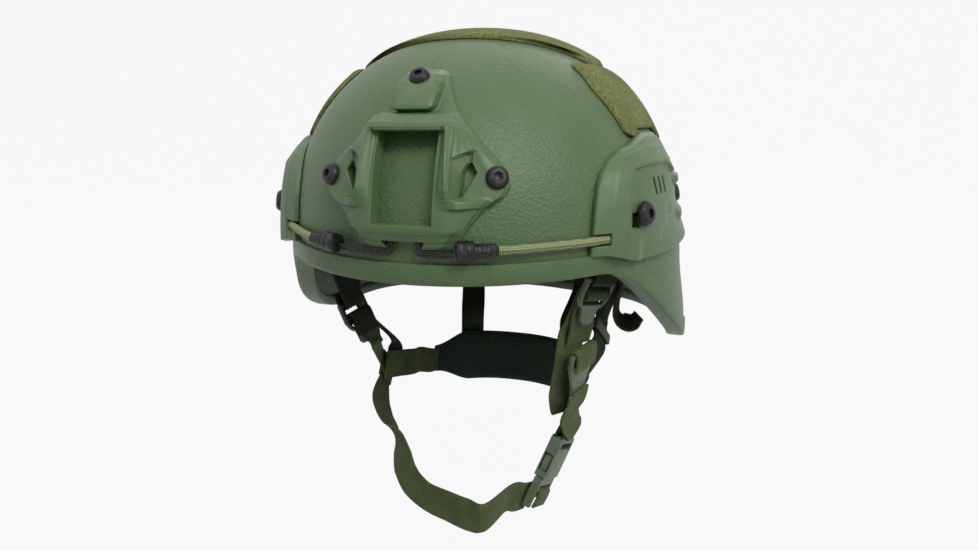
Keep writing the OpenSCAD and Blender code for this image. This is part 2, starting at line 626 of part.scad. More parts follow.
// ladder-lock adjusters: X across the webbing, Y down the strap, Z outwards
bar_r = 1.7;
lock_w = web_w + 7;
lock_slot = web_t + 2.8;
adj_l = fit([82.5, -54.7, -22.8]);
adj_lx = [-0.553, -0.816, 0.167];
adj_ly = [-0.346, 0.043, -0.937];
adj_r = fit([-79, -52, -49]);
adj_rx = [0.1, 0.97, 0.05];
adj_ry = [0.38, 0.05, -0.92];
lock_mid = bar_r + run_gap + web_t + lock_slot;
leg_z = 1.5 + run_gap + web_t / 2;
load_z = leg_z + web_t + seat_gap;
module adjuster(p, x, y) {
    color([0.36, 0.43, 0.31]) place() at_frame(p, x, y) {
        rotate([0, 90, 0]) cylinder(r = bar_r, h = lock_w - 2, center = true);
        translate([0, 0, -1.5]) linear_extrude(3) difference() {
            polygon([[-lock_w / 2, -1.2], [-lock_w / 2, lock_mid + 4], [-lock_w / 2 + 3, lock_mid + 8.6],
                [-7, lock_mid + 11], [-5.5, lock_mid + 18], [-3, lock_mid + 20.5],
                [3, lock_mid + 20.5], [5.5, lock_mid + 18], [7, lock_mid + 11],
                [lock_w / 2 - 3, lock_mid + 8.6], [lock_w / 2, lock_mid + 4], [lock_w / 2, -1.2]]);
            translate([-web_w / 2 - run_gap, -3]) square([web_w + 2 * run_gap, lock_mid + 3]);
            translate([-web_w / 2 - run_gap, lock_mid + 3.2])
                square([web_w + 2 * run_gap, lock_slot]);
        }
    }
}
module adjuster_left() { adjuster(adj_l, adj_lx, adj_ly); }
module adjuster_right() { adjuster(adj_r, adj_rx, adj_ry); }

// webbing over the adjuster's middle bar, with its loose end hanging behind the tongue
module strap_roll(p, x, y, tail) {
    m = lock_mid + 1.6;
    k = web_t / 2 + run_gap;
    t = m - 1.6 - k;
    path = [for (q = concat([[0, m + 12.5, -load_z], [0, m + 6, -load_z], [0, m, -load_z],
        [0, t + 0.9, 0.6 - load_z], [0, t, -leg_z], [0, t, 1], [0, t + 0.8, leg_z - 0.2],
        [0, m, leg_z + 0.1], [0, m + 1.9, leg_z - 0.3], [0, m + 1.6 + k, 1.1],
        [0, m + 1.7 + k, -1.3], [0, m + 2.6 + k, -leg_z - 0.1], [0, m + 7, -leg_z - 0.1]], tail))
        in_frame(p, x, y, q)];
    color(web_green) place() ribbon(path, [for (q = path) x], web_w, web_t);
}
module strap_roll_left() {
    strap_roll(adj_l, adj_lx, adj_ly,
        [[-0.5, lock_mid + 15, -leg_z], [-2.4, lock_mid + 20.5, 0.3 - leg_z], [-4.4, lock_mid + 26.2, 0.6 - leg_z]]);
}
module strap_roll_right() {
    strap_roll(adj_r, adj_rx, adj_ry, [[0, lock_mid + 13.4, 0.1 - leg_z]]);
}

// strap from its nut to the loop round the adjuster's top bar
module front_strap(s, p, x, y) {
    r = bar_r + run_gap + web_t / 2;
    c = in_frame(p, x, y, [0, -12, -r]);
    e = strap_end(s * rail_screw_a, rail_screw_z, 6, s * 0.25);
    n = normal(s * rail_screw_a, rail_screw_z);
    w = cross(e[0] - e[2], n) * (cross(e[0] - e[2], n) * x < 0 ? -1 : 1);
    top_part = curve(concat(e, [c]), 3);
    bend = [for (k = [0, 45, 90, 135, 180]) [0, r * sin(k), -r * cos(k)]];
    rest = [for (q = concat([[0, -5, -r]], bend, [[0, -4, r], [0, -9, r - 0.4]])) in_frame(p, x, y, q)];
    color(web_green) place() difference() {
        ribbon(concat(top_part, rest), concat(steer([w, w, w, w + x * norm(w), x], 3), [for (q = rest) x]),
            web_w, web_t);
        strap_hole(s * rail_screw_a, rail_screw_z);
    }
}
module front_strap_left() { front_strap(1, adj_l, adj_lx, adj_ly); }
module front_strap_right() { front_strap(-1, adj_r, adj_rx, adj_ry); }

// the straps meet beside the jaw: X across the cheek strap, Y down it, Z inwards on the left
join_l = fit([63, -47.5, -84]);
join_lx = [0.746, 0.664, 0.047];
join_ly = [-0.142, 0.23, -0.96];
join_r = fit([-71.5, -20, -106]);
join_rx = [-0.15, 0.86, 0.5];
join_ry = [0.1, 0.5, -0.86];
ply = web_t + seat_gap;
module cheek_strap_left() {
    a = [for (q = [[0, 14.9, 0], [0, 23, 0], [0, 31, -0.6]])
        in_frame(adj_l, adj_lx, adj_ly, q + [0, lock_mid, -load_z])];
    b = [for (q = [[0, -12, 0], [0, 0, 0], [0, 12, 0], [0, 25, 0]]) in_frame(join_l, join_lx, join_ly, q)];
    color(web_green) place() strap(concat(a, b),
        [-adj_lx, -adj_lx, -adj_lx, join_lx, join_lx, join_lx, join_lx]);
}
module cheek_strap_right() {
    a = [for (q = [[0, lock_mid + 20.2, -load_z - 0.3], [0, lock_mid + 25, -load_z - 0.3]])
        in_frame(adj_r, adj_rx, adj_ry, q)];
    b = [for (q = [[0, -12, 0], [0, 0, 0], [0, 12, 0]]) in_frame(join_r, join_rx, join_ry, q)];
    color(web_green) place() strap(concat(a, b), [adj_rx, adj_rx, join_rx, join_rx, join_rx]);
}

// stiff slide in front of the left cheek strap, webbing round its top bar
slide_z = -(web_t / 2 + 0.4 + web_t + run_gap + 2.3);
module slide_left() {
    color([0.34, 0.42, 0.36]) place() at_frame(join_l, join_lx, join_ly)
        translate([6, 0, slide_z - 1.2]) linear_extrude(2.4) difference() {
            polygon([[-13, -24], [13, -24], [13, -14], [7, 2], [5, 12], [-5, 12], [-7, 2], [-13, -14]]);
            translate([-web_w / 2 - run_gap, -21]) square([web_w + 2 * run_gap, 5]);
        }
}
module slide_loop_left() {
    r = 2.3 + web_t / 2;
    path = [for (q = [[6, -11, r + 0.1], [6, -15, r], [6, -20, r], [6, -22.5 - r * 0.7, r * 0.72],
        [6, -22.5 - r, 0], [6, -22.5 - r * 0.7, -r * 0.72], [6, -20, -r], [6, -15, -r], [6, -11, -r]])
        in_frame(join_l, join_lx, join_ly, q + [0, 0, slide_z])];
    color(web_green) place() ribbon(path, [for (q = path) join_lx], web_w, web_t);
}

// strap from the side nut down behind the cheek strap, k plies further in
keep_p = fit([79.3, -6, -71]);
keep_x = [0.3, 0.63, -0.72];
keep_y = [-0.02, -0.75, -0.66];
module side_strap(s, mid, ws, p, x, y, b) {
    e = strap_end(s * rail_screw_b, rail_screw_z, 4.5, 0);
    n = normal(s * rail_screw_b, rail_screw_z);
    t = cross([0, 0, s], n);
    w = in_frame(p, x, y, [4, 9, 0]) - p;
    color([0.2, 0.23, 0.17]) place() difference() {
        strap(concat(e, mid, [for (q = b) in_frame(p, x, y, q)]), concat([t, t, t, t], ws, [w, w, w]));
        strap_hole(s * rail_screw_b, rail_screw_z);
    }
}
module side_strap_left() {
    side_strap(1, [fit([97, 20, -28]), fit([82.5, 9, -56]), in_frame(keep_p, keep_x, keep_y, [0, -12, 0]),
        in_frame(keep_p, keep_x, keep_y, [0, -4, 0]), in_frame(keep_p, keep_x, keep_y, [0, 4, 0]),
        in_frame(keep_p, keep_x, keep_y, [0, 11, 0])],
        [[0.1, 1, -0.1], [0.2, 0.85, -0.45], keep_x, keep_x, keep_x, keep_x], join_l, join_lx, join_ly,
        [[19, 7, ply + 5], [9, 11, ply + 0.8], [0, 15, ply + 0.2]]);
}
module side_strap_right() {
    side_strap(-1, [fit([-100, 22, -32]), fit([-88, 10, -66])], [[0, 1, 0], [0, 0.85, -0.5]], join_r, join_rx, join_ry,
        [[22, -2, -ply - 0.2], [12, 2, -ply - 0.5], [2, 6, -ply - 0.5]]);
}

// keeper that holds the left side strap's folds together
module triglide_left() {
    color([0.33, 0.31, 0.22]) place() at_frame(keep_p, keep_x, keep_y)
        translate([0, 0, -2.7]) difference() {
            translate([-web_w / 2 - 3.2, -3.6, 0]) cube([web_w + 6.4, 7.2, 5.4]);
            translate([-web_w / 2 - 1.4, -5, 1.1]) cube([web_w + 2.8, 10, 3.2]);
        }
}

// loose end of the side strap, curled up under the flare
module strap_tail_left() {
    pts = [[91.4, 13, -45.4], [88.8, 9.6, -52.5], [88.6, 6, -60], [91.5, 4.5, -65], [96.5, 5, -67],
        [101.8, 6.4, -63.5], [101.3, 7, -58.6], [97.3, 7, -57.5]];
    color(web_green) place() strap([for (q = pts) fit(q)],
        [for (i = [0:7]) mix([0.16, 1, -0.12], [-0.05, 0.99, -0.1], min(1, i / 3))]);
}

// nape pad and the straps that carry it
nape_p = fit([60, 86, -134]);
nape_half = nape_p[0];
function nape(x, z, o) =
    let (u = abs(x) / nape_half)
    [x, nape_p[1] + o - 0.6 * nape_half * pow(u, 2.2), nape_p[2] + z + 6 * u * u];
module nape_pad() {
    xs = [-60, -55, -45, -30, -15, 0, 15, 30, 45, 55, 60] * nape_half / 60;
    vs = [-1, -0.9, -0.45, 0, 0.45, 0.9, 1];
    function half(x) =
        nape_pad_h / 2 * (abs(x) > 0.98 * nape_half ? 0.5 : abs(x) > 0.83 * nape_half ? 0.68 : 1);
    function puff(i, j) =
        (i == 0 || i == 6 || j == 0 || j == 10 ? 0.35 : i == 1 || i == 5 || j == 1 || j == 9 ? 0.75 : 1)
        * nape_pad_t / 2;
    up = [for (i = [0:6]) [for (j = [0:10]) nape(xs[j], vs[i] * half(xs[j]), -puff(i, j))]];
    low = [for (i = [0:6]) [for (j = [0:10]) nape(xs[j], vs[i] * half(xs[j]), puff(i, j))]];
    color(pad_dark) place() plate(up, low, all_on(6, 10));
}
module rear_strap(s) {
    a = strap_end(s * rear_nut_a, rear_nut_z, 4, 0);
    n = normal(s * rear_nut_a, rear_nut_z);
    e = nape(s * 0.7 * nape_half, nape_pad_h / 2 - 8, nape_pad_t / 2 + seat_gap + web_t / 2 + 0.4);
    w = cross(n, [0, 0, 1]);
    v = [0.82, s * -0.57, 0];
    color([0.16, 0.19, 0.14]) place() difference() {
        strap(concat(a, [fit([s * 48, 103, -72]), e + [0, 2, 24], e + [0, 0.6, 9], e]),
            [w, w, w, w, w + v, v, v, v]);
        strap_hole(s * rear_nut_a, rear_nut_z);
    }
}
module rear_strap_left() { rear_strap(1); }
module rear_strap_right() { rear_strap(-1); }
// from the nape pad's end to the inside of the side strap where the straps meet
module nape_strap(s, p, x, y, b) {
    e = nape(s * (nape_half + 2.3), 0, 0);
    c = [for (q = b) in_frame(p, x, y, q)];
    color(web_green) place() strap(concat([e, e + [s * 2.2, -8, 1], mix(e, c[0], 0.6) + [s * 4, 0, 0]], c),
        [[0, 0.1, -1], [0, 0.1, -1], [0, 0.2, -1], y, y, y, y]);
}
module nape_strap_left() {
    nape_strap(1, join_l, join_lx, join_ly,
        [[27, 6, 2 * ply + 12.5], [16, 6, 2 * ply + 5.8], [6, 6, 2 * ply + 1.3], [-3, 6, 2 * ply + 0.3]]);
}
module nape_strap_right() {
    nape_strap(-1, join_r, join_rx, join_ry,
        [[27, 6, -2 * ply - 4], [16, 6, -2 * ply - 2], [6, 6, -2 * ply - 0.9], [-3, 6, -2 * ply - 0.7]]);
}

// ---- side-release buckle: X the way the male half leaves, Y across, Z outwards ----
buckle_p = fit([51.7, -46.7, -159.1]);
buckle_x = [-0.35, -0.352, -0.868];
buckle_y = [0.193, 0.88, -0.435];
male_in = buckle_w / 2 - 2.6;
male_z = buckle_t / 2 - 1.5 - run_gap;
module buckle_female() {
    w = buckle_w / 2;
    h = buckle_t / 2;
    color([0.38, 0.45, 0.33]) place() at_frame(buckle_p, buckle_x, buckle_y) difference() {
        translate([0, 0, -h]) linear_extrude(buckle_t)
            polygon([[-buckle_l, -w + 2], [-buckle_l + 2, -w], [-1, -w], [0, -w + 1],
                [0, w - 1], [-1, w], [-buckle_l + 2, w], [-buckle_l, w - 2]]);
        translate([-19, -male_in - run_gap, -h + 1.5]) cube([20, 2 * (male_in + run_gap), buckle_t - 3]);
        translate([-16, -w - 1, -h + 1.5]) cube([11.5, buckle_w + 2, buckle_t - 3]);
        translate([-buckle_l + 3, -web_w / 2 - run_gap, -h - 1])
            cube([4.4, web_w + 2 * run_gap, buckle_t + 2]);
        for (z = [1.5, -h - 1]) translate([-buckle_l - 1, -web_w / 2 - run_gap, z])
            cube([5, web_w + 2 * run_gap, h - 0.5]);
    }
}
module buckle_male() {
    w = buckle_w / 2;
    color([0.38, 0.45, 0.33]) place() at_frame(buckle_p, buckle_x, buckle_y) {
        translate([run_gap, 0, -male_z]) linear_extrude(2 * male_z) difference() {
            polygon([[0, -w + 1], [1, -w + 0.4], [20, -w + 0.4], [20, -web_w / 2 - run_gap],
                [13.2, -web_w / 2 - run_gap], [13.2, web_w / 2 + run_gap],
                [20, web_w / 2 + run_gap], [20, w - 0.4], [1, w - 0.4], [0, w - 1]]);
            translate([5.4, -web_w / 2 - run_gap]) square([4.4, web_w + 2 * run_gap]);
        }
        translate([-15, -2.6, -male_z + 0.4]) cube([16, 5.2, 2 * male_z - 0.8]);
    }
}
// the two springy arms with their barbs, which flex when the buckle opens
module buckle_prongs() {
    w = male_in;
    color([0.38, 0.45, 0.33]) place() at_frame(buckle_p, buckle_x, buckle_y)
        for (s = [-1, 1]) translate([0, 0, -male_z + 0.3]) linear_extrude(2 * male_z - 0.6)
            polygon([[run_gap - 0.05, s * (w - 0.2)], [run_gap - 0.05, s * (w - 2.6)],
                [-10, s * (w - 3)], [-17.6, s * (w - 2)], [-17.8, s * (w - 0.8)],
                [-12, s * (w + 1.8)], [-4.5 - run_gap, s * (w + 1.8)], [-4.5 - run_gap, s * (w - 0.2)]]);
}
// webbing from the slide through the female half's bar
module buckle_strap() {
    r = 1.55 + run_gap + web_t / 2;
    c = 1.5 - buckle_l;
    o = slide_z - 1.2 - 0.4 - web_t / 2;
    a = [for (q = [[5, 3.5, o], [5, 10.5, o], [3.6, 19, o], [0, 29, o + 1]]) in_frame(join_l, join_lx, join_ly, q)];
    loop = [for (q = [[c - 9, 0, r + 0.8], [c - 4, 0, r], [c + 1.3, 0, r], [c + r - 0.35, 0, r - 0.35],
        [c + r, 0, 1.3], [c + r, 0, -1.3], [c + r - 0.35, 0, 0.35 - r], [c + 1.3, 0, -r],
        [c - 4, 0, -r], [c - 9, 0, 0.4 - r]])
        in_frame(buckle_p, buckle_x, buckle_y, q)];
    top_part = curve(concat(a, [loop[0]]), 3);
    color(web_green) place() ribbon(concat(top_part, [for (i = [1:9]) loop[i]]),
        concat(steer([join_lx, join_lx, join_lx, join_lx + buckle_y, buckle_y], 3),
            [for (i = [1:9]) buckle_y]), web_w, web_t);
}
// end of the chin strap, looped through the male half
male_bar = run_gap + 11.5;
male_r = male_z + run_gap + 0.05 + web_t / 2;
module chin_strap_end() {
    c = male_bar;
    r = male_r;
    path = [for (q = [[c + 10, 0, -r], [c + 5, 0, -r], [c - 1.5, 0, -r], [c - 2.6, 0, 0.35 - r],
        [c - 2.95, 0, 1.4 - r], [c - 2.95, 0, r - 1.4], [c - 2.6, 0, r - 0.35], [c - 1.5, 0, r],
        [c + 4, 0, r], [c + 8, 0, r - 0.4]])
        in_frame(buckle_p, buckle_x, buckle_y, q)];
    color(web_green) place() ribbon(path, [for (q = path) buckle_y], web_w, web_t);
}
// down from the right junction with one half turn, under the chin and up behind the buckle
module chin_strap() {
    a = [for (q = [[0, -4, ply + 0.4], [0, 6, ply + 1.5]]) in_frame(join_r, join_rx, join_ry, q)];
    o = -male_r - ply - 0.1;
    b = [for (q = [[male_bar + 6, -26, o - 2], [male_bar + 6, -12, o], [male_bar + 6, 4, o]])
        in_frame(buckle_p, buckle_x, buckle_y, q)];
    color(web_green) place() strap(
        concat(a, [for (q = [[-74, -26.6, -128], [-68, -35, -136], [-59, -43, -142], [-51, -51, -147],
            [-41, -65, -154], [-31, -76, -159], [-16, -86, -161], [0, -93, -160], [14, -98, -159.5],
            [25, -98, -159.5]]) fit(q)], b),
        [join_rx, join_rx, [0.17, 0.91, -0.38], [0.05, 0.9, -0.4], [-0.26, 0.93, -0.25], [-0.61, 0.64, -0.47],
            [-0.8, 0.35, -0.5], [-0.6, 0.1, -0.8], [-0.35, 0.1, -0.93], [-0.2, 0, -0.98], [-0.12, -0.1, -0.99],
            [-0.05, 0.1, -0.98], [-0.2, 0, -0.9], buckle_x, buckle_x]);
}

shell();
edge_trim();
shroud();
shroud_screw_top();
shroud_screw_left();
shroud_screw_right();
rail_left();
rail_right();
rail_screw_front_left();
rail_screw_front_right();
rail_screw_rear_left();
rail_screw_rear_right();
crown_patch();
side_patch_left();
side_patch_right();
rear_patch();
bungee_left();
bungee_right();
crimp_left();
crimp_right();
hook_left();
hook_right();
crown_pad();
front_pad();
rear_pad();
side_pad_front_left();
side_pad_front_right();
side_pad_rear_left();
side_pad_rear_right();
strap_nut_front_left();
strap_nut_front_right();
strap_nut_side_left();
strap_nut_side_right();
strap_nut_rear_left();
strap_nut_rear_right();
front_strap_left();
front_strap_right();
adjuster_left();
adjuster_right();
strap_roll_left();
strap_roll_right();
cheek_strap_left();
cheek_strap_right();
strap_tail_left();
side_strap_left();
side_strap_right();
triglide_left();
slide_left();
slide_loop_left();
rear_strap_left();
rear_strap_right();
nape_strap_left();
nape_strap_right();
nape_pad();
buckle_strap();
buckle_female();
buckle_male();
buckle_prongs();
chin_strap_end();
chin_strap();
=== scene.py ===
"""Looks of the ear-covering combat helmet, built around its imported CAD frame.

Shapes are worked out in millimetres with z 0 at the shell's widest level, as in the part's
source; part() turns them into the frame's metres, whose origin is under the crown pad.
"""

import bpy
import numpy as np
from mathutils import Matrix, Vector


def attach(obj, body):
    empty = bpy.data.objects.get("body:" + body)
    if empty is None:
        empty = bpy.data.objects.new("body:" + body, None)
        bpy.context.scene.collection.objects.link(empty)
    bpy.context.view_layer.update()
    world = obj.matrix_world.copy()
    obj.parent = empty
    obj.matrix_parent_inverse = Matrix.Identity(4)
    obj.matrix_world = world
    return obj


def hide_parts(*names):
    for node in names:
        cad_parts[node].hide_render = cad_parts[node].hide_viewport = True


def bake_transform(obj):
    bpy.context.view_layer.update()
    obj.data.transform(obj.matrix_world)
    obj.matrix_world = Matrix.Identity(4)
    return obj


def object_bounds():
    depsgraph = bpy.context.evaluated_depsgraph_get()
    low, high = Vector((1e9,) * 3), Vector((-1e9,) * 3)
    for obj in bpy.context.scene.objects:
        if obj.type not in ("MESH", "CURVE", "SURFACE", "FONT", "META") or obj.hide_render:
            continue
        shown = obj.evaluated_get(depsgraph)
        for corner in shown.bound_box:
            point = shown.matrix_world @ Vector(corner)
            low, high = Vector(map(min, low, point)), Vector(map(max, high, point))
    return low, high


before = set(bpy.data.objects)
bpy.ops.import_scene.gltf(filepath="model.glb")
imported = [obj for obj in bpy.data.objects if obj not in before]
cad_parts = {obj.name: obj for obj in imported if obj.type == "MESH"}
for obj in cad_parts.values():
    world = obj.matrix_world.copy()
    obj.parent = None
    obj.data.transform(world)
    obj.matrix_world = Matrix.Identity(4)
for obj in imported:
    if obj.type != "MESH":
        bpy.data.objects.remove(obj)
cad_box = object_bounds()

# sizes as in the part's source, in millimetres
SHELL_HALF_W, FRONT_REACH, BACK_REACH, CROWN_H = 117.0, 139.0, 133.0, 117.0
DOME_M, SHELL_T = 2.2, 8.5
BROW_DROP, EAR_DROP, NAPE_DROP, EAR_FLARE = 7.0, 71.0, 80.0, 14.5
SEAT_GAP, RUN_GAP = 0.3, 0.4
SHROUD_Z = 9.0
PAD_T, CROWN_PAD_R, SEAT_R = 19.0, 56.0, 34.0
WEB_W, WEB_T = 20.0, 1.6
PAD_GAP = 0.9
PAD_O = -SHELL_T - SEAT_GAP - PAD_GAP
PAD_MEAN_R, NAPE_HALF = 118, 60
SEAT_Z = CROWN_H + PAD_O - PAD_T
SIDE_NAME = {1: "left", -1: "right"}
ADJUSTER_BODY = {1: "adjuster_l", -1: "adjuster_r"}


# the shell's surface
def sm(a, b, x):
    """Smooth step from 0 at a to 1 at b."""
    u = np.clip((np.asarray(x, float) - a) / (b - a), 0, 1)
    return u * u * (3 - 2 * u)


def mix(a, b, u):
    """a at u 0, b at u 1, straight between."""
    return a + (b - a) * u


def unit(v):
    """Vectors of length one along the last axis."""
    v = np.asarray(v, float)
    return v / np.maximum(np.linalg.norm(v, axis=-1, keepdims=True), 1e-9)


def vec(*xyz):
    """Points from three arrays of coordinates."""
    return np.stack(np.broadcast_arrays(*[np.asarray(c, float) for c in xyz]), -1)


def kz(z, o):
    """Share of the widest section that is left at level z, o outside the shell."""
    z = np.maximum(z, 0)
    return np.maximum(0, 1 - (z / (CROWN_H + o)) ** DOME_M) ** (1 / DOME_M)


def flare(t, z):
    """How far the ear and nape edge stands out at angle t from the brow and level z."""
    a = np.abs(t)
    return (EAR_FLARE * sm(40, 88, a) * (1 - 0.4 * sm(110, 165, a))
            * (0.6 * (1 - sm(-14, 22, z)) + 0.4 * (1 - sm(-62, -10, z))))


def spot(t, z, o):
    """Point at angle t (degrees) from the brow, level z, o outside the shell's face."""
    t = np.asarray(t, float)
    s, c = np.sin(np.radians(t)), np.cos(np.radians(t))
    reach = np.where(c > 0, FRONT_REACH, BACK_REACH)
    f = o + flare((t + 180) % 360 - 180, z)
    k = kz(np.asarray(z, float), o)
    return vec((SHELL_HALF_W + f) * k * s, -(reach + f) * k * c, z)


def rim_z(t):
    """Level of the shell's edge: brow, drop over the ears, nape."""
    a = np.abs((np.asarray(t, float) + 180) % 360 - 180)
    return -mix(mix(BROW_DROP, EAR_DROP, sm(46, 95, a)), NAPE_DROP, sm(110, 165, a))


def front(x, z, o):
    """Point of the brow side over x and level z."""
    k, u = kz(z, o), np.asarray(x, float) / (SHELL_HALF_W + o)
    return vec(x, -(FRONT_REACH + o) * np.sqrt(np.maximum(0, k * k - u * u)), z)


def side(s, y, z, o):
    """Point of the side s (1 or -1) over y and level z."""
    y = np.asarray(y, float)
    k, u = kz(z, o), y / (np.where(y < 0, FRONT_REACH, BACK_REACH) + o)
    return vec(s * (SHELL_HALF_W + o) * np.sqrt(np.maximum(0, k * k - u * u)), y, z)


def top(x, y, o):
    """Point of the dome over x and y."""
    x, y = np.asarray(x, float), np.asarray(y, float)
    reach = np.where(y < 0, FRONT_REACH, BACK_REACH) + o
    q = np.hypot(x / (SHELL_HALF_W + o), y / reach)
    return vec(x, y, (CROWN_H + o) * np.maximum(0, 1 - q ** DOME_M) ** (1 / DOME_M))


def normal(t, z):
    """Outward direction of the shell's face."""
    return unit(np.cross(spot(t + 1, z, 0) - spot(t - 1, z, 0), spot(t, z + 1, 0) - spot(t, z - 1, 0)))


def circle(n):
    """n angles round a full turn."""
    return np.linspace(0, 2 * np.pi, n, endpoint=False)


def swell(v, power):
    """v between -1 and 1 with its size raised to a power, which makes a circle a rounded box."""
    return np.sign(v) * np.abs(v) ** power


def eased(n):
    """n places from -1 to 1, closer together near the ends."""
    return np.sin(np.linspace(-1, 1, n) * np.pi / 2)


def eased_grid(n, m):
    """Two coordinates over n columns and m rows of eased places."""
    return np.broadcast_arrays(eased(n)[None], eased(m)[:, None])


def running_sum(steps):
    """Sum of the steps so far, from 0."""
    return np.concatenate([[0], np.cumsum(steps)])


def axes(x, y):
    """Three unit directions: along x, towards y, and across both."""
    u = unit(x)
    v = unit(np.asarray(y, float) - u * np.dot(y, u))
    return np.array([u, v, np.cross(u, v)])


def in_frame(p, x, y, q):
    """Points q of the frame at p with X along x and Y towards y."""
    return np.asarray(p, float) + np.asarray(q, float) @ axes(x, y)


# meshes
def part(p):
    """Points in the frame's metres."""
    return (np.asarray(p, float).reshape(-1, 3) - [0, 0, SEAT_Z]) * 0.001


def piece(name, points, faces, finish, body="helmet", stands_for=(), uv=None, slot=None, sharp=40):
    """Object from points (mm) and a list of face arrays; uv holds one pair per point, in metres."""
    mesh = bpy.data.meshes.new(name)
    faces = [np.asarray(f, int) for f in faces if len(f)]
    loops = np.concatenate([f.ravel() for f in faces])
    sizes = np.concatenate([np.full(len(f), f.shape[1]) for f in faces])
    mesh.vertices.add(len(points))
    mesh.vertices.foreach_set("co", part(points).ravel())
    mesh.loops.add(len(loops))
    mesh.loops.foreach_set("vertex_index", loops)
    mesh.polygons.add(len(sizes))
    mesh.polygons.foreach_set("loop_start", np.concatenate([[0], np.cumsum(sizes)[:-1]]))
    mesh.update(calc_edges=True)
    if uv is not None:
        layer = mesh.uv_layers.new(name="UVMap")
        layer.data.foreach_set("uv", np.asarray(uv, float)[loops].ravel())
    mesh.polygons.foreach_set("use_smooth", np.ones(len(sizes), bool))
    mesh.set_sharp_from_angle(angle=np.radians(sharp))
    mesh.validate()
    obj = bpy.data.objects.new(name, mesh)
    bpy.context.scene.collection.objects.link(obj)
    mesh.materials.append(finish)
    if body:
        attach(obj, body)
    if stands_for:
        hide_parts(*stands_for)
    return obj


def quads(rows, cols, wrap_rows=False, wrap_cols=False):
    """Faces between the points of a grid, closed round where asked."""
    i = np.arange(rows if wrap_rows else rows - 1)[:, None]
    j = np.arange(cols if wrap_cols else cols - 1)[None]
    a, b = i * cols + j, i * cols + (j + 1) % cols
    c, d = (i + 1) % rows * cols + (j + 1) % cols, (i + 1) % rows * cols + j
    return np.stack(np.broadcast_arrays(a, b, c, d), -1).reshape(-1, 4)


def outwards(points, faces):
    """The faces, turned round if their solid has a negative volume."""
    p = np.asarray(points, float)
    volume = sum((np.cross(p[f[:, 0]], p[f[:, k]]) * p[f[:, k + 1]]).sum()
                 for f in faces for k in range(1, f.shape[1] - 1))
    return faces if volume > 0 else [f[:, ::-1] for f in faces]


def lathe_skin(rings, closed=False):
    """Points and faces of closed rings joined one to the next; open ends get a middle point."""
    rings = np.asarray(rings, float)
    n, m = rings.shape[:2]
    faces = [quads(n, m, closed, True)]
    points = rings.reshape(-1, 3)
    if not closed:
        j = np.arange(m)
        low = np.stack([np.full(m, n * m), (j + 1) % m, j], -1)
        high = np.stack([np.full(m, n * m + 1), (n - 1) * m + j, (n - 1) * m + (j + 1) % m], -1)
        faces.append(np.concatenate([low, high]))
        points = np.concatenate([points, rings[:1].mean(1), rings[-1:].mean(1)])
    return points, outwards(points, faces)


def slab(up, low, keep):
    """Points and faces of a plate between two grids: the cells kept, and walls round its outline and
    openings."""
    r, c = up.shape[:2]
    n = r * c
    i, j = np.nonzero(keep)
    a, b, d, e = i * c + j, i * c + j + 1, (i + 1) * c + j + 1, (i + 1) * c + j
    faces = [np.stack([a, b, d, e], -1), np.stack([a, e, d, b], -1) + n]
    k = np.pad(keep, 1)
    neighbours = (k[:-2, 1:-1], k[2:, 1:-1], k[1:-1, :-2], k[1:-1, 2:])
    for beside, p, q in zip(neighbours, (a, d, e, b), (b, e, a, d)):
        w = ~beside[i, j]
        faces.append(np.stack([q[w], p[w], p[w] + n, q[w] + n], -1))
    points = np.concatenate([up.reshape(-1, 3), low.reshape(-1, 3)])
    used = np.zeros(2 * n, bool)
    used[np.concatenate([f.ravel() for f in faces])] = True
    index = np.cumsum(used) - 1
    return points[used], outwards(points[used], [index[f] for f in faces])


def finer(values, step, edge):
    """Matrix that refines a list of places, with points edge away from each and steps between, and
    the coarse interval that each fine place is in."""
    out = []
    for k in range(len(values) - 1):
        size = abs(values[k + 1] - values[k])
        e = min(edge / max(size, 1e-6), 0.3)
        inner = np.linspace(e, 1 - e, max(2, int(np.ceil(size * (1 - 2 * e) / step)) + 1))
        out += [k] + list(k + inner)
    out = np.array(out + [len(values) - 1.0])
    low = np.minimum(out.astype(int), len(values) - 2)
    m = np.zeros((len(out), len(values)))
    m[np.arange(len(out)), low] = 1 - (out - low)
    m[np.arange(len(out)), low + 1] += out - low
    return m, low


def soften(h):
    """Each value mixed with its neighbours, one, two, one, which rounds an edge."""
    h = np.pad(h, 1, mode="edge")
    h = (h[:-2] + 2 * h[1:-1] + h[2:]) / 4
    return (h[:, :-2] + 2 * h[:, 1:-1] + h[:, 2:]) / 4


def moulded(a, b, high, keep, surface, under=SEAT_GAP, step=2.2, edge=0.4, roll=0.35):
    """Moulded plate: a coarse grid of places a, b with heights, refined, its edges rounded.

    Heights are linear between the coarse ones, softened within edge of each, and roll lower at
    the outline. under is the level of the plain back, or a grid for a second shaped face.
    """
    a, b, high = np.broadcast_arrays(a, b, high)
    size = surface(a, b, 0)
    steps = [np.linalg.norm(np.diff(size, axis=k), axis=-1).mean(1 - k) for k in (0, 1)]
    (rows, row_of), (cols, col_of) = (finer(running_sum(s), step, edge) for s in steps)
    keep = np.asarray(keep, bool)[row_of[:-1]][:, col_of[:-1]]
    k = np.pad(keep, 1)
    inner = k[1:, 1:] & k[:-1, 1:] & k[1:, :-1] & k[:-1, :-1]
    a, b, high = (rows @ g @ cols.T for g in (a, b, high))
    high = soften(soften(high)) - roll * ~inner
    if np.ndim(under):
        under = rows @ under @ cols.T + roll * ~inner
    return slab(surface(a, b, high), surface(a, b, np.broadcast_to(under, high.shape)), keep)


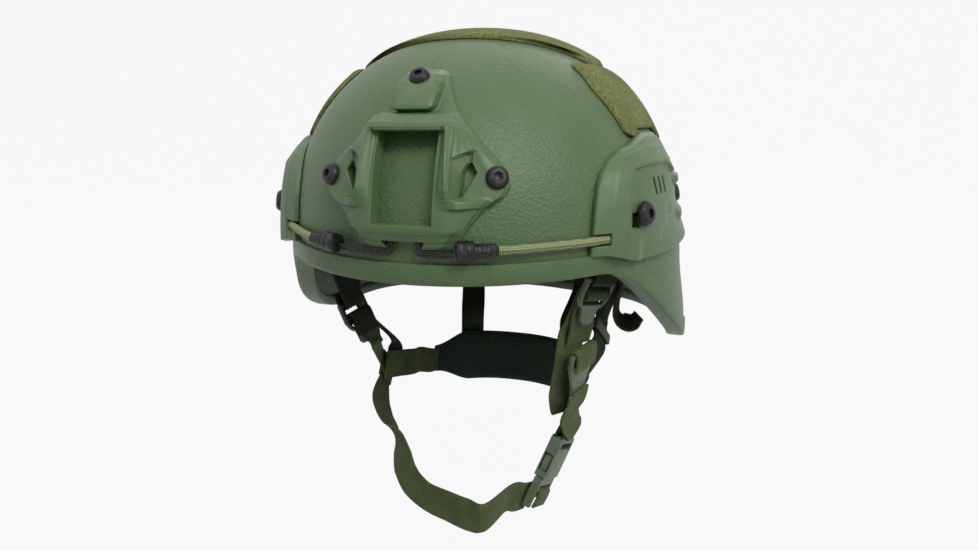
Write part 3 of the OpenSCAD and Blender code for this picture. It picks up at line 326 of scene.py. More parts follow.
def round_off(p, times):
    """Path with its corners cut to a quarter, times over; the ends stay."""
    p = np.asarray(p, float)
    for _ in range(times):
        q = np.empty((2 * len(p) - 2, p.shape[1]))
        q[0::2], q[1::2] = 0.75 * p[:-1] + 0.25 * p[1:], 0.25 * p[:-1] + 0.75 * p[1:]
        p = np.concatenate([p[:1], q, p[-1:]])
    return p


def curve(p, n):
    """Smooth curve through the points, n steps between two of them."""
    p = np.asarray(p, float)
    q = np.concatenate([p[:1], p, p[-1:]])
    u = np.arange(n)[:, None, None] / n
    a, b, c, d = q[:-3], q[1:-2], q[2:-1], q[3:]
    s = 0.5 * (2 * b + (c - a) * u + (2 * a - 5 * b + 4 * c - d) * u ** 2 + (3 * b - a - 3 * c + d) * u ** 3)
    return np.concatenate([s.transpose(1, 0, 2).reshape(-1, p.shape[1]), p[-1:]])


def steer(w, n):
    """Width directions along a curve with n steps between the points that w belongs to."""
    w = unit(w)
    k = np.arange((len(w) - 1) * n + 1) / n
    i = np.minimum(k.astype(int), len(w) - 2)
    return unit(mix(w[i], w[i + 1], (k - i)[:, None]))


def section_frames(p, w):
    """Thickness and width directions at each point of a path whose width lies near w."""
    along = unit(np.concatenate([p[1:2] - p[:1], p[2:] - p[:-2], p[-1:] - p[-2:-1]]))
    n = unit(np.cross(along, w))
    return n, unit(np.cross(n, along))


def path_length(p):
    """Distance along a path at each of its points."""
    return running_sum(np.linalg.norm(np.diff(p, axis=0), axis=1))


def ribbon(name, p, w, finish, wide, times, **more):
    """Webbing carried along p: a flat section with round selvedges, a tenth thinner between them.

    w holds width directions, one for all points or one for each. wide is one width, or several
    spread evenly along p where the strap is drawn in. Returns the object and its path: points,
    thickness and width directions, and distance along.
    """
    p = np.asarray(p, float)
    p, w = (round_off(q, times) for q in (p, np.broadcast_to(w, p.shape)))
    n, b = section_frames(p, w)
    half = np.max(wide) / 2
    share = np.linspace(0, 1, len(p))
    drawn = np.interp(share, np.linspace(0, 1, np.size(wide)), np.atleast_1d(wide)) / (2 * half)
    turn, flat = np.array([0.9, 0, -0.9]), np.linspace(-half + 0.6, half - 0.6, 12)
    selvedge = half + 0.45 * np.cos(turn) - 0.45
    x = np.concatenate([flat, selvedge, -flat, -selvedge])
    y = np.concatenate([0 * flat + 0.5, 0.5 * np.sin(turn), 0 * flat - 0.5, -0.5 * np.sin(turn)])
    y = y * WEB_T * (1 - 0.1 * sm(1.2, 2.2, half - np.abs(x)))
    u, run = x * drawn[:, None], path_length(p)
    rings = p[:, None] + b[:, None] * u[..., None] + n[:, None] * y[:, None]
    uv = np.stack(np.broadcast_arrays(u, run[:, None]), -1).reshape(-1, 2)
    uv = np.concatenate([uv, [[0, run[0]], [0, run[-1]]]]) * 0.001
    return piece(name, *lathe_skin(rings), finish, uv=uv, **more), (p, n, b, run)


def strap_path(pts, w, n=6):
    """Curve and width directions through a strap's points."""
    return curve(pts, n), steer(w, n)


def tube(name, p, d, finish, sides=16, **more):
    """Round cord or wire along p; its diameter d is one number or one per point."""
    p = np.asarray(p, float)
    along = unit(np.gradient(p, axis=0))
    n = unit(np.cross(along, [0.01, 0.02, 1]))
    b = np.cross(n, along)
    a = circle(sides)[:, None]
    r = np.broadcast_to(np.asarray(d, float) / 2, len(p))[:, None, None]
    rings = p[:, None] + r * (n[:, None] * np.cos(a) + b[:, None] * np.sin(a))
    around = np.arange(sides) / sides
    uv = np.stack(np.broadcast_arrays(around, path_length(p)[:, None] * 0.001), -1).reshape(-1, 2)
    return piece(name, *lathe_skin(rings), finish, uv=np.concatenate([uv, uv[:1], uv[-1:]]), **more)


# finishes
class Socket:
    """A node's output; arithmetic on it adds Math nodes."""

    def __init__(self, finish, out):
        self.finish, self.out = finish, out

    def _math(self, operation, *values):
        return self.finish.node("ShaderNodeMath", {"operation": operation}, *values)

    def __add__(self, other):
        return self._math("ADD", self, other)

    def __radd__(self, other):
        return self._math("ADD", other, self)

    def __sub__(self, other):
        return self._math("SUBTRACT", self, other)

    def __rsub__(self, other):
        return self._math("SUBTRACT", other, self)

    def __mul__(self, other):
        return self._math("MULTIPLY", self, other)

    def __rmul__(self, other):
        return self._math("MULTIPLY", other, self)

    def wave(self, length):
        """Sine of 2 pi times this over length."""
        return self._math("SINE", self * (2 * np.pi / length))

    def step(self, low, high):
        """Smooth step from 0 at low to 1 at high."""
        return self.finish.node("ShaderNodeMapRange", {"interpolation_type": "SMOOTHSTEP"}, self, low, high)


class Finish:
    """A material made in code around one Principled shader."""

    def __init__(self, name, **fixed):
        self.material = bpy.data.materials.new(name)
        self.material.use_nodes = True
        self.tree = self.material.node_tree
        self.shader = self.tree.nodes["Principled BSDF"]
        self.set(**fixed)

    def node(self, kind, settings=None, *values, out=0, **named):
        """New node: its settings first, then values or links by place or by socket name."""
        node = self.tree.nodes.new(kind)
        for key, value in (settings or {}).items():
            setattr(node, key, value)
        for key, value in list(enumerate(values)) + [(k.replace("_", " "), v) for k, v in named.items()]:
            self._feed(node.inputs[key], value)
        return Socket(self, node.outputs[out])

    def _feed(self, socket, value):
        if isinstance(value, Socket):
            self.tree.links.new(value.out, socket)
        else:
            socket.default_value = value

    def set(self, **values):
        """Feeds the shader's sockets, named with _ for a space."""
        for key, value in values.items():
            self._feed(self.shader.inputs[key.replace("_", " ")], value)

    def place(self):
        """The point on the object, in metres."""
        return self.node("ShaderNodeTexCoord", out="Object")

    def across_along(self):
        """A strap's own two coordinates, metres across and along it."""
        xyz = self.tree.nodes.new("ShaderNodeSeparateXYZ")
        self.tree.links.new(self.node("ShaderNodeTexCoord", out="UV").out, xyz.inputs[0])
        return Socket(self, xyz.outputs[0]), Socket(self, xyz.outputs[1])

    def noise(self, grain, detail=2.0, rough=0.5):
        """Noise around 0.5 whose grains are that many millimetres across."""
        return self.node("ShaderNodeTexNoise", None, Vector=self.place(), Scale=1000.0 / grain,
                         Detail=detail, Roughness=rough)

    def pebbles(self, grain):
        """Distance to the nearest of scattered points that are grain millimetres apart."""
        return self.node("ShaderNodeTexVoronoi", {"feature": "SMOOTH_F1"}, Vector=self.place(),
                         Scale=1000.0 / grain, Smoothness=0.6)

    def blend(self, mask, a, b):
        """Colour a where mask is 0, b where it is 1."""
        colour = [v if isinstance(v, Socket) else (*v, 1.0) for v in (a, b)]
        mixer = self.tree.nodes.new("ShaderNodeMix")
        mixer.data_type = "RGBA"
        for key, value in ((0, mask), (6, colour[0]), (7, colour[1])):
            self._feed(mixer.inputs[key], value)
        return Socket(self, mixer.outputs[2])

    def bump(self, height, depth, strength=1.0):
        """Normal from a height of 0 to 1 that is depth millimetres deep."""
        return self.node("ShaderNodeBump", None, Height=height, Distance=depth * 0.001, Strength=strength)


def painted_shell():
    """Satin green paint over a pebbled ground, with faint cloudy wear."""
    f = Finish("shell_paint", Specular_IOR_Level=0.45)
    cloud, speck = f.noise(38, 3), f.noise(1.9, 2)
    grain = f.pebbles(1.5) * 0.6 + f.noise(0.9, 2) * 0.4
    green = f.blend(cloud.step(0.35, 0.68), (0.087, 0.152, 0.059), (0.106, 0.177, 0.075))
    light = f.blend(grain.step(0.3, 0.75), (0.130, 0.201, 0.094), green)
    f.set(Base_Color=f.blend((speck - 0.5) * 0.8 + 0.3, green, light))
    f.set(Roughness=0.40 + f.noise(3, 2) * 0.12)
    f.set(Normal=f.bump(grain, 0.42))
    return f.material


def moulded_finish(name, low, high, rough=0.5, grain=0.8, depth=0.05):
    """Moulded plastic or painted metal: fine grain, slight cloudiness."""
    f = Finish(name)
    f.set(Base_Color=f.blend(f.noise(9, 3).step(0.35, 0.7), low, high))
    f.set(Roughness=rough + f.noise(2.5, 2) * 0.14)
    f.set(Normal=f.bump(f.noise(grain, 3), depth, 0.7))
    return f.material


def black_metal():
    """Black oxide with a soft shine and small scratches."""
    f = Finish("black_metal", Metallic=0.6)
    f.set(Base_Color=f.blend(f.noise(2.5, 4).step(0.45, 0.75), (0.017, 0.017, 0.018), (0.048, 0.048, 0.050)))
    f.set(Roughness=0.34 + f.noise(1.2, 3) * 0.22)
    f.set(Normal=f.bump(f.noise(0.5, 2), 0.02, 0.5))
    return f.material


def woven(name, low, high):
    """Webbing: slightly wavy rows of yarn across the strap, slanted yarns along it, darker gaps."""
    f = Finish(name, Sheen_Weight=0.06, Sheen_Roughness=0.5, Specular_IOR_Level=0.15)
    u, v = f.across_along()
    rows = v + u.wave(0.0045) * 0.0002
    weft = rows.wave(0.00115) * 0.5 + 0.5
    warp = (u + v * 0.35).wave(0.0009) * 0.5 + 0.5
    yarn = weft * 0.6 + warp * 0.4
    fibre = f.noise(0.35, 2)
    worn = f.noise(14, 3)
    base = f.blend(worn.step(0.3, 0.72), low, high)
    dark = tuple(c * 0.45 for c in low)
    f.set(Base_Color=f.blend((yarn * 0.75 + fibre * 0.4).step(0.15, 0.75), dark, base))
    f.set(Roughness=0.72 + fibre * 0.16)
    f.set(Normal=f.bump(yarn * 0.8 + fibre * 0.2, 0.22, 0.8))
    return f.material


def loop_pile():
    """Loop fabric: matte fuzzy pile with fine uneven rows."""
    f = Finish("loop_fabric", Roughness=0.95, Sheen_Weight=0.08, Sheen_Roughness=0.6, Specular_IOR_Level=0.1)
    fuzz, tuft = f.noise(0.8, 4, 0.7), f.pebbles(1.3)
    wear = f.noise(24, 3)
    base = f.blend(wear.step(0.3, 0.7), (0.235, 0.259, 0.091), (0.310, 0.334, 0.127))
    f.set(Base_Color=f.blend((fuzz * 0.6 + tuft * 0.6).step(0.25, 0.85), (0.117, 0.132, 0.047), base))
    f.set(Normal=f.bump(fuzz * 0.5 + tuft * 0.5, 0.7, 0.9))
    return f.material


def knit(name, low, high, grain=1.4):
    """Dense knit over foam, dark and matte."""
    f = Finish(name, Sheen_Weight=0.08, Sheen_Roughness=0.5, Specular_IOR_Level=0.15)
    cell = f.pebbles(grain)
    f.set(Base_Color=f.blend((cell + f.noise(0.6, 2) * 0.5).step(0.25, 0.95), low, high))
    f.set(Roughness=0.82 + f.noise(3, 2) * 0.12)
    f.set(Normal=f.bump(cell, 0.3, 0.8))
    return f.material


def braided():
    """Elastic cord's sleeve: two sets of strands that cross."""
    f = Finish("bungee_cord", Sheen_Weight=0.15)
    u, v = f.across_along()
    a, b = (u * 0.012 + v).wave(0.0021), (u * 0.012 - v).wave(0.0021)
    strand = (a * b) * 0.5 + 0.5
    f.set(Base_Color=f.blend(strand.step(0.2, 0.85), (0.150, 0.190, 0.075), (0.460, 0.540, 0.240)))
    f.set(Roughness=0.5 + f.noise(0.6, 2) * 0.2)
    f.set(Normal=f.bump(strand, 0.3, 0.9))
    return f.material


def thread(name, colour):
    """Sewing thread."""
    f = Finish(name)
    f.set(Base_Color=f.blend(f.noise(0.8, 2), tuple(c * 0.6 for c in colour), colour))
    f.set(Roughness=0.6 + f.noise(0.5, 2) * 0.15)
    return f.material


PAINT = painted_shell()
SMOOTH_PAINT = moulded_finish("moulded_paint", (0.097, 0.166, 0.068), (0.116, 0.190, 0.084), 0.38, 0.7, 0.05)
BLACK = black_metal()
LOOP = loop_pile()
WEB = woven("webbing", (0.122, 0.156, 0.062), (0.190, 0.235, 0.104))
# the same webbing drawn about three times darker: painted shade for the straps that hang in shadow inside the
# shell
SHADED_WEB = woven("dark_webbing", (0.036, 0.049, 0.026), (0.062, 0.081, 0.043))
GREEN_PLASTIC = moulded_finish("green_plastic", (0.108, 0.149, 0.091), (0.145, 0.190, 0.121), 0.42)
BROWN_PLASTIC = moulded_finish("brown_plastic", (0.058, 0.052, 0.028), (0.086, 0.075, 0.041), 0.5)
PAD_CLOTH = knit("pad_fabric", (0.022, 0.037, 0.023), (0.050, 0.075, 0.053))
PIPING = knit("pad_piping", (0.028, 0.039, 0.028), (0.061, 0.083, 0.061), 0.9)
# the locks' green plastic drawn near black: painted shade for the right lock, which sits in shadow
SHADED_LOCK_PLASTIC = moulded_finish("black_plastic", (0.012, 0.014, 0.012), (0.022, 0.026, 0.022), 0.45)
BRAID = braided()
THREAD = thread("thread", (0.179, 0.207, 0.110))
# the same thread drawn about three times darker: painted shade for stitches on webbing in shadow
SHADED_THREAD = thread("dark_thread", (0.062, 0.076, 0.048))


# shell and brow edge
def shell_wall():
    """Superellipse dome down to the widest level, then a wall that flares over the ears, both faces."""
    t = np.linspace(-180, 180, 240, endpoint=False)[None]
    e = np.radians(np.linspace(88.6, 3, 52))[:, None]
    f = np.linspace(0, 1, 26)[:, None]

    def face(o):
        dome = spot(t, (CROWN_H + o) * np.sin(e) ** (2 / DOME_M), o)
        return np.concatenate([dome, spot(t, rim_z(t) * f, o)])

    rings = np.concatenate([face(0), face(-SHELL_T)[::-1]])
    piece("shell_wall", *lathe_skin(rings), PAINT, stands_for=["shell"], slot="shell_paint")


def edge_band():
    """U section round the edge: a ledge outside, a short lip inside, thinner over the ears."""
    t = np.linspace(-180, 180, 240, endpoint=False)
    a = np.abs(t)
    c, s = SEAT_GAP, SHELL_T + SEAT_GAP
    thick = c + mix(1.75, 0.75, sm(48, 66, a))
    high = mix(8.8, 10.5, sm(50, 80, a))
    profile = [(c, high), (thick - 0.45, high), (thick - 0.12, high - 0.15), (thick, high - 0.6),
               (thick, high / 2), (thick, 0.6), (thick - 0.25, -0.8), (thick - 0.9, -1.6), (-1, -1.9),
               (-4, -1.9), (1 - s, -1.9), (-s - 0.8, -1.5), (-s - 1.5, -0.4), (-s - 1.5, 5.2), (-s - 1, 6),
               (-s, 6), (-s, -c), (c, -c)]
    rings = np.stack([spot(t, rim_z(t) + z, o) for o, z in profile], 1)
    piece("edge_band", *lathe_skin(rings, closed=True), PAINT, stands_for=["edge_trim"], slot="trim_rubber")


# shroud: the mount on the brow
def shroud_grid():
    """Coarse grid of half the shroud: places x, levels z and heights over the shell, with 13 columns
    from the middle to the outline. The rows at the pockets' upper edge rise outwards."""
    z = np.array([9, 9.8, 12.6, 16.4, 17.8, 20, 24, 27, 27.8, 31, 32.4, 36, 43, 47, 48.4, 49.5, 57, 60.9,
                  61.5, 62.9, 65.5, 68.4, 69.6, 70.6, 72, 78, 83, 86.5, 88.6, 89.4])
    slant = np.interp(z, [47, 48.4, 49.5, 57, 60.9], [0, 1, 1, 0.3, 0])
    outline_z = [9, 10.4, 13, 17.5, 26, 31.5, 33.5, 38, 44, 53.6, 63, 69.5, 74.5, 81, 85, 88, 89.4]
    outline_x = [21, 25, 26.3, 28.5, 34.8, 43, 45.2, 46.2, 43.6, 34.1, 25, 19.2, 16.4, 12.8, 11.2, 9.2, 6.4]
    edge = np.interp(z + 5.3 * slant, outline_z, outline_x)

    def run(levels, values):
        return np.interp(z, levels, values)

    pocket = (z > 31.5) & (z < 49)
    ridge = run([9, 17.8, 27, 36, 63, 68.4], [15.5, 20.6, 21.6, 21.7, 19.7, 18.2])
    crease = run([9, 17.5, 27, 27.8, 31, 33, 48.4, 57, 63, 68.4],
                 [18, 24, 26, 26, 25, 23, 22, 22.4, 21.6, 18.7])
    spread = [crease + (edge - crease) * f for f in (0.25, 0.5, 0.75)]
    inside = [32.4, 36, 43, 47, 48.4]
    slot_in = np.where(pocket, run(inside, [25.1, 25.6, 26.2, 28.3, 27.2]), spread[0])
    slot_out = np.where(pocket, run(inside, [26.0, 28, 31.9, 29.6, 29.6]), spread[1])
    wing = np.where(pocket, mix(slot_out, edge, 0.4), spread[2])
    lobe = run([9, 12.6, 16.4, 17.8], [8.5, 10.6, 13.6, 14.7])
    cap = run([69, 70.6, 72, 78, 83, 86.5, 88.6, 89.4], [8, 8.8, 9.9, 10.6, 10.2, 9.2, 7.4, 5])
    frame_x = [0 * z, lobe * 0.55, lobe, lobe + 1.2, lobe + 2.1, ridge - 1.0, ridge, crease, slot_in,
               slot_out, wing, edge - 1.7, edge]
    cap_x = [0 * z, cap * 0.5, cap * 0.84] + [mix(cap + 0.5, edge, k / 8) for k in range(9)]
    cap_x.insert(3, cap)
    x = np.where(z < 69, frame_x, cap_x).T

    foot, foot_h = [9, 12.6, 16.4, 17.8], [3, 5, 7.2, 7.7]
    bar = run(foot + [60.9, 61.5, 62.9, 65.5, 68.4], foot_h + [7.7, 10.6, 11.6, 11.3, 8.6])
    groove = run(foot + [27, 36, 60.9, 62.9, 65.5, 68.4], foot_h + [7.7, 8.3, 8.3, 11.6, 11.3, 8.6])
    top_line = run(foot + [27, 36, 62.9, 65.5, 68.4], foot_h + [7.7, 11.7, 11.7, 11.2, 8.4])
    fall = run(foot + [27, 27.8, 36, 63, 65.5, 68.4], [2.8, 4.6, 6.8, 7.2, 6.6, 9.4, 9.8, 9.4, 8.8, 7])
    thin = run([9, 16.4, 31], [2.6, 3.6, 4.4])
    ramp = [mix(fall, thin, k) for k in (0.3, 0.55, 0.8)]
    frame_h = [bar, bar, bar, bar, groove, top_line, top_line, fall, np.where(pocket, 2.6, ramp[0]),
               np.where(pocket, 4.2, ramp[1]), np.where(pocket, 4.8, ramp[2]), np.where(pocket, 4.8, thin),
               0 * z + 2.0]
    tip = run([69.6, 70.6, 72, 83, 86.5, 88.6, 89.4], [4.6, 9.2, 9.6, 9.6, 8.8, 6.2, 3.2])
    cap_h = [tip, tip, tip, mix(4.2, tip, 0.82), 4.4 + 0 * z] + [4.2 + 0 * z] * 7 + [0 * z + 2.0]
    tall = np.where(z < 69, frame_h, cap_h).T
    level = z[:, None] + 0.444 * slant[:, None] * np.maximum(0, x - 21.9)
    return x, level, tall, z


def shroud_plate():
    """Skeleton mount: a window between dovetail edges, ridges that end in small steps, wings with
    pockets and slots, a cap over the top screw and two lower lobes."""
    x, level, tall, z = shroud_grid()
    k = np.arange(-12, 13)
    x, level, tall = np.sign(k) * x[:, np.abs(k)], level[:, np.abs(k)], tall[:, np.abs(k)]
    a = np.minimum(np.abs(k[:-1]), np.abs(k[1:]))
    mid = ((z[:-1] + z[1:]) / 2)[:, None]
    window = ((mid < 12.6) | (mid > 20) & (mid < 61)) & (a < 2)
    wing_slot = (mid > 32.4) & (mid < 47) & (a == 8)
    plate = moulded(x, level, tall + SEAT_GAP, ~(window | wing_slot), front, step=1.5, edge=0.28)
    piece("shroud_plate", *plate, SMOOTH_PAINT, stands_for=["shroud"], slot="shell_paint", sharp=28)


# screws
CAP_SCREW_Z, WING_X, WING_Z = 78.5, 39.0, 39.2
WING_A = np.degrees(np.arcsin(WING_X / (SHELL_HALF_W * kz(WING_Z, 0))))


def on_shell(t, z, o, q):
    """Points q of a frame that stands o outside the shell at angle t and level z, Z outwards."""
    n = normal(t, z)
    x = unit(np.cross([0, 0, 1], n))
    return spot(t, z, 0) + n * o + np.asarray(q) @ np.array([x, np.cross(n, x), n])


def turned(t, z, o, profile, a, axis=0):
    """Rings at angles a round the shell's outward direction at t and z: radii, and heights over o."""
    return np.stack([on_shell(t, z, o, vec(r * np.cos(a), r * np.sin(a), up)) for r, up in profile], axis)


def screw(node, t, z, seat, d, h, shank):
    """Button head with a bevelled hex socket on a round shank, turned round its axis."""
    a = circle(60)
    hexagon = d * 0.17 / np.cos((a + np.pi / 6) % (np.pi / 3) - np.pi / 6)
    profile = [(2, -shank), (2, 0), (d / 2 * 0.97, 0), (d / 2, h * 0.08)]
    profile += [(d / 2 * np.cos(u), h * (0.25 + 0.75 * np.sin(v)))
                for u, v in zip(np.linspace(0.18, 1.0, 9), np.linspace(0, 1.5, 9))]
    profile += [(hexagon * k, h - deep) for k, deep in ((1.12, 0), (1, 0.22), (0.98, 1.5), (0.5, 1.75))]
    rings = turned(t, z, seat, profile, a)
    piece(node + "_head", *lathe_skin(rings), BLACK, stands_for=[node], slot="black_metal", sharp=30)


def strap_nut(s, which, t, z):
    """Flat nut with rounded rims behind a strap's end."""
    back = STRAP_O - WEB_T / 2 - SEAT_GAP - 0.2
    profile = [(2.5, 0), (7.2, 0), (7.5, -0.3), (7.5, -2), (7.1, -2.45), (6.5, -2.6), (3.1, -2.6),
               (2.5, -2.2)]
    rings = turned(s * t, z, back, profile, circle(48), 1)
    piece("%s_nut_%s" % (which, SIDE_NAME[s]), *lathe_skin(rings, closed=True), BLACK,
          stands_for=["strap_nut_%s_%s" % (which, SIDE_NAME[s])], slot="black_metal")


# side rails
RAIL_A, RAIL_B = 42.5, 118.0
RAIL_SCREW_A, RAIL_SCREW_B, RAIL_SCREW_Z = 57.0, 99.0, 18.5
REAR_NUT_A, REAR_NUT_Z = 152, -22
STRAP_O = -(SHELL_T + SEAT_GAP + 0.8 + WEB_T / 2)


def rail_angle(u, v):
    """Angle from the brow at u along and v up the rail, its front edge leaning back at the top."""
    return mix(RAIL_A + 3 * v + 10 * v ** 6, RAIL_B, u)


def side_rail(s):
    """Plate on the shell's side s: a thick bevelled front with a horn, three slots and a notch,
    then a thin rear with two long ridges."""
    u = np.array([[0, 0.055, 0.112, 0.122, 0.135, 0.172, 0.2, 0.263, 0.275, 0.298, 0.31, 0.333, 0.345, 0.38,
                   0.42, 0.43, 0.47, 0.5, 0.52, 0.62, 0.69, 0.79, 0.86, 0.95, 1]])
    v = np.array([0, 0.035, 0.095, 0.21, 0.27, 0.33, 0.39, 0.5, 0.64, 0.69, 0.735, 0.76, 0.79, 0.9, 0.97, 1])
    v = v[:, None]
    low = -4 + 5.4 * (1 - sm(0.05, 0.18, u)) + 5 * sm(0.3, 1, u)
    high = (45 + 14 * (0.46 * (1 - sm(0.38, 0.47, u)) + 0.54 * sm(-0.02, 0.22, u) * (1 - sm(0.33, 0.47, u)))
            - 10 * sm(0.9, 1, u))
    thin = ((u > 0.19) & (v < 0.1)) | ((u > 0.3) & (v < 0.25)) | ((u > 0.35) & (v < 0.35))
    ridge = np.select([(v > 0.68) & (v < 0.78), (v > 0.26) & (v < 0.34)], [2.8, 1.96], 0.0)
    ridge = np.where((u < 0.51) | ((u > 0.68) & (u < 0.8)), 0, ridge)
    rise = np.minimum(np.interp(u, [0, 0.112], [3.2, 8.9]), np.interp(v, [0.76, 0.97, 1], [8.9, 4.4, 2.6]))
    face = np.where((u > 0.115) & (v < 0.75), 6.4, rise)
    tall = np.where((u < 0.425) & ~thin, face, 4.4 + ridge)
    tall[:, -1] = tall[-1] = 2.4
    tall[:, 0] = 2.6
    lean = np.where((u < 0.25) | (u > 0.35) | (v < 0.45) | (v > 0.65), 0, (0.57 - v) * 11)
    keep = np.ones((15, 24), bool)
    keep[7, [7, 9, 11]] = False
    keep[2, 0] = False
    keep[4:6, 4] = False
    angle, level = rail_angle(u, v) + lean, mix(low, high, v)
    plate = moulded(angle, level, tall + SEAT_GAP, keep, lambda a, z, o: spot(s * a, z, o),
                    under=SEAT_GAP + 0.2, step=1.8, edge=0.45)
    piece("side_rail_" + SIDE_NAME[s], *plate, SMOOTH_PAINT, stands_for=["rail_" + SIDE_NAME[s]],
          slot="shell_paint", sharp=32)


# loop patches
def round_in(v, r):
    """Share of the width left at v between -1 and 1, so that corners are rounded."""
    q = np.maximum(0, np.abs(v) - 1 + r) / r
    return 1 - r * (1 - np.sqrt(np.maximum(0, 1 - q * q)))


def patch(name, surface, u, v, half_u, half_v, node):
    """Loop fabric on the shell; its pile is full inside and falls in a quarter round at the border."""
    border = np.minimum((1 - np.abs(u)) * half_u, (1 - np.abs(v)) * half_v)
    pile = 2.2 * (0.35 + 0.65 * np.sqrt(np.maximum(0, 1 - (1 - np.clip(border / 1.6, 0, 1)) ** 2)))
    sheet = slab(surface(0.5 + pile), surface(0.5 + 0 * pile), np.ones(np.array(u.shape) - 1, bool))
    obj = piece(name, *sheet, LOOP, stands_for=[node], slot="loop_fabric")


def crown_patch():
    """Rounded patch over the crown, its front and back edges bowed."""
    u, v = eased_grid(64, 60)
    x = 72 * u * round_in(v, 0.24)
    y = mix(24 * u ** 2 - 61, 58 - 16 * u ** 2, 0.5 + 0.5 * v)
    patch("crown_loop_patch", lambda o: top(x, y, o), u, v, 70, 58, "crown_patch")


def side_patch(s):
    """Patch above the rail; its lower edge follows the rail's top."""
    u, v = eased_grid(60, 44)
    y = -19 + 43 * u * round_in(v, 0.16) + 3.6 * (1 - u) * sm(0.1, 1, v)
    w = 0.5 + 0.5 * u
    low = 57 + 4 * sm(0, 0.14, w) - 7 * sm(0.5, 0.8, w)
    z = mix(low, 95.3 - 9 * sm(0.3, 1, w), 0.5 + 0.5 * v)
    patch("side_loop_patch_" + SIDE_NAME[s], lambda o: side(s, y, z, o), u, v, 43, 15,
          "side_patch_" + SIDE_NAME[s])


def rear_patch():
    """Rectangular patch above the nape."""
    u, v = eased_grid(52, 44)
    t = 180 + 32 * u * round_in(v, 0.2)
    patch("rear_loop_patch", lambda o: spot(t, 47 + 23 * v, o), u, v, 62, 23, "rear_patch")


# bungees
CORD_Z, CRIMP_O, CORD_O = 9.0, 5.1, 3.0


def crimp_angle(s):
    """Angle of the sleeve's inner end; the left one sits nearer the middle."""
    return 11.8 if s > 0 else 17.4


def bungee(s):
    """Braided elastic cord from its sleeve to the rail's notch, carried along the shell."""
    a, b = crimp_angle(s) + 8.8, rail_angle(0.065, 0.2) - 0.3
    f = np.linspace(0, 1, 70)
    p = spot(s * mix(a, b, f), CORD_Z + 0 * f, mix(CRIMP_O, CORD_O, sm(0, 0.5, f)))
    tube("bungee_cord_" + SIDE_NAME[s], p, 4.2 + 0.25 * np.sin(f * 40), BRAID, sides=20,
         stands_for=["bungee_" + SIDE_NAME[s]], slot="bungee_cord")


def crimp(s):
    """Sleeve pressed round the cord: a thick end block with ribs, then a plain collar."""
    f = np.linspace(0, 1, 90)
    t = crimp_angle(s) + 8.6 * f
    block = mix(9.4, 7.0, sm(0.41, 0.45, f))
    ribs = 0.55 * np.abs(np.sin(f * np.pi * 5.5)) * (f < 0.43) + 0.25 * np.sin(f * 60) * (f > 0.5)
    ends = 1 - 0.3 * (1 - sm(0, 0.03, f)) - 0.25 * sm(0.96, 1, f)
    p = spot(s * t, CORD_Z + 0 * f, CRIMP_O + 0 * f)
    tube("crimp_sleeve_" + SIDE_NAME[s], p, (block + ribs - 0.3) * ends, BLACK, sides=28,
         stands_for=["crimp_" + SIDE_NAME[s]], slot="black_metal")


def hook(s):
    """Wire ring: out of the sleeve, under the shroud's lobe, up round its inner edge and back."""
    x0 = SHELL_HALF_W * np.sin(np.radians(crimp_angle(s))) - 0.9
    x = np.array([x0, mix(9, x0, 0.66), mix(9, x0, 0.3), 10.4, 8.8, 7.7, 6.6, 5.8, 5.7, 7, 10,
                  mix(9, x0, 0.4), mix(9, x0, 0.7), x0])
    z = np.array([-0.6, -0.9, -1.0, -0.8, 0, 1.6, 2.5, 1.4, -0.6, -2.3, -3.0, -3.1, -3.0, -2.6])
    o = np.array([5, 4, 3.4, 2.9, 2.6, 2.4, 2.4, 2.5, 2.9, 3.3, 3.5, 3.7, 4.2, 5])
    tube("wire_hook_" + SIDE_NAME[s], curve(front(s * x, SHROUD_Z + z, o), 8), 1.5, BLACK,
         stands_for=["hook_" + SIDE_NAME[s]], slot="black_metal")


# pads
def crown_pad():
    """Round pad: its top follows the dome, its underside is flat in the middle, and a seam draws in
    the middle of its slightly bulged edge."""
    a = circle(96)[None]
    r = CROWN_PAD_R * np.sin(np.linspace(0.05, np.pi / 2, 22))[:, None]
    up = top(r * np.cos(a), -r * np.sin(a), PAD_O)
    low_z = SEAT_Z + 7 * np.maximum(0, r / CROWN_PAD_R - SEAT_R / CROWN_PAD_R) ** 1.6
    down = vec(r * np.cos(a), -r * np.sin(a), low_z)
    f = np.linspace(0, 1, 9)[1:-1, None, None]
    edge = mix(up[-1], down[-1], f)
    edge[..., :2] *= 1 + 0.016 * np.sin(np.pi * f) - 0.02 * np.exp(-((f - 0.5) / 0.08) ** 2)
    rings = np.concatenate([up, edge, down[::-1]])
    obj = piece("crown_comfort_pad", *lathe_skin(rings), PAD_CLOTH, stands_for=["crown_pad"],
                slot="pad_fabric")


def comfort_pad(node, tc, zc, wide, high):
    """Oblong pad on the shell's inner face: thickness a superellipse over both ways, corners drawn
    in, with a groove up its middle."""
    u, v = eased_grid(40, 40)
    span = np.degrees(wide / 2 / PAD_MEAN_R)
    puff = PAD_T * np.maximum(0.3, (1 - np.abs(u) ** 7) ** 0.4 * (1 - np.abs(v) ** 7) ** 0.4)
    puff = puff - 0.9 * np.exp(-(u / 0.02) ** 2)
    t, z = tc + span * u * (1 - 0.07 * v ** 8), zc + high / 2 * v * (1 - 0.1 * u ** 8)
    cushion = slab(spot(t, z, PAD_O), spot(t, z, PAD_O - puff), np.ones((39, 39), bool))
    obj = piece(node + "_cloth", *cushion, PAD_CLOTH, stands_for=[node], slot="pad_fabric", sharp=60)


def nape(x, z, o):
    """Point of the nape pad's middle face over x and level z, o behind it."""
    b = np.abs(x) / NAPE_HALF
    return vec(x, 86 + o - 36 * b ** 2.2, -134 + z + 6 * b ** 2)


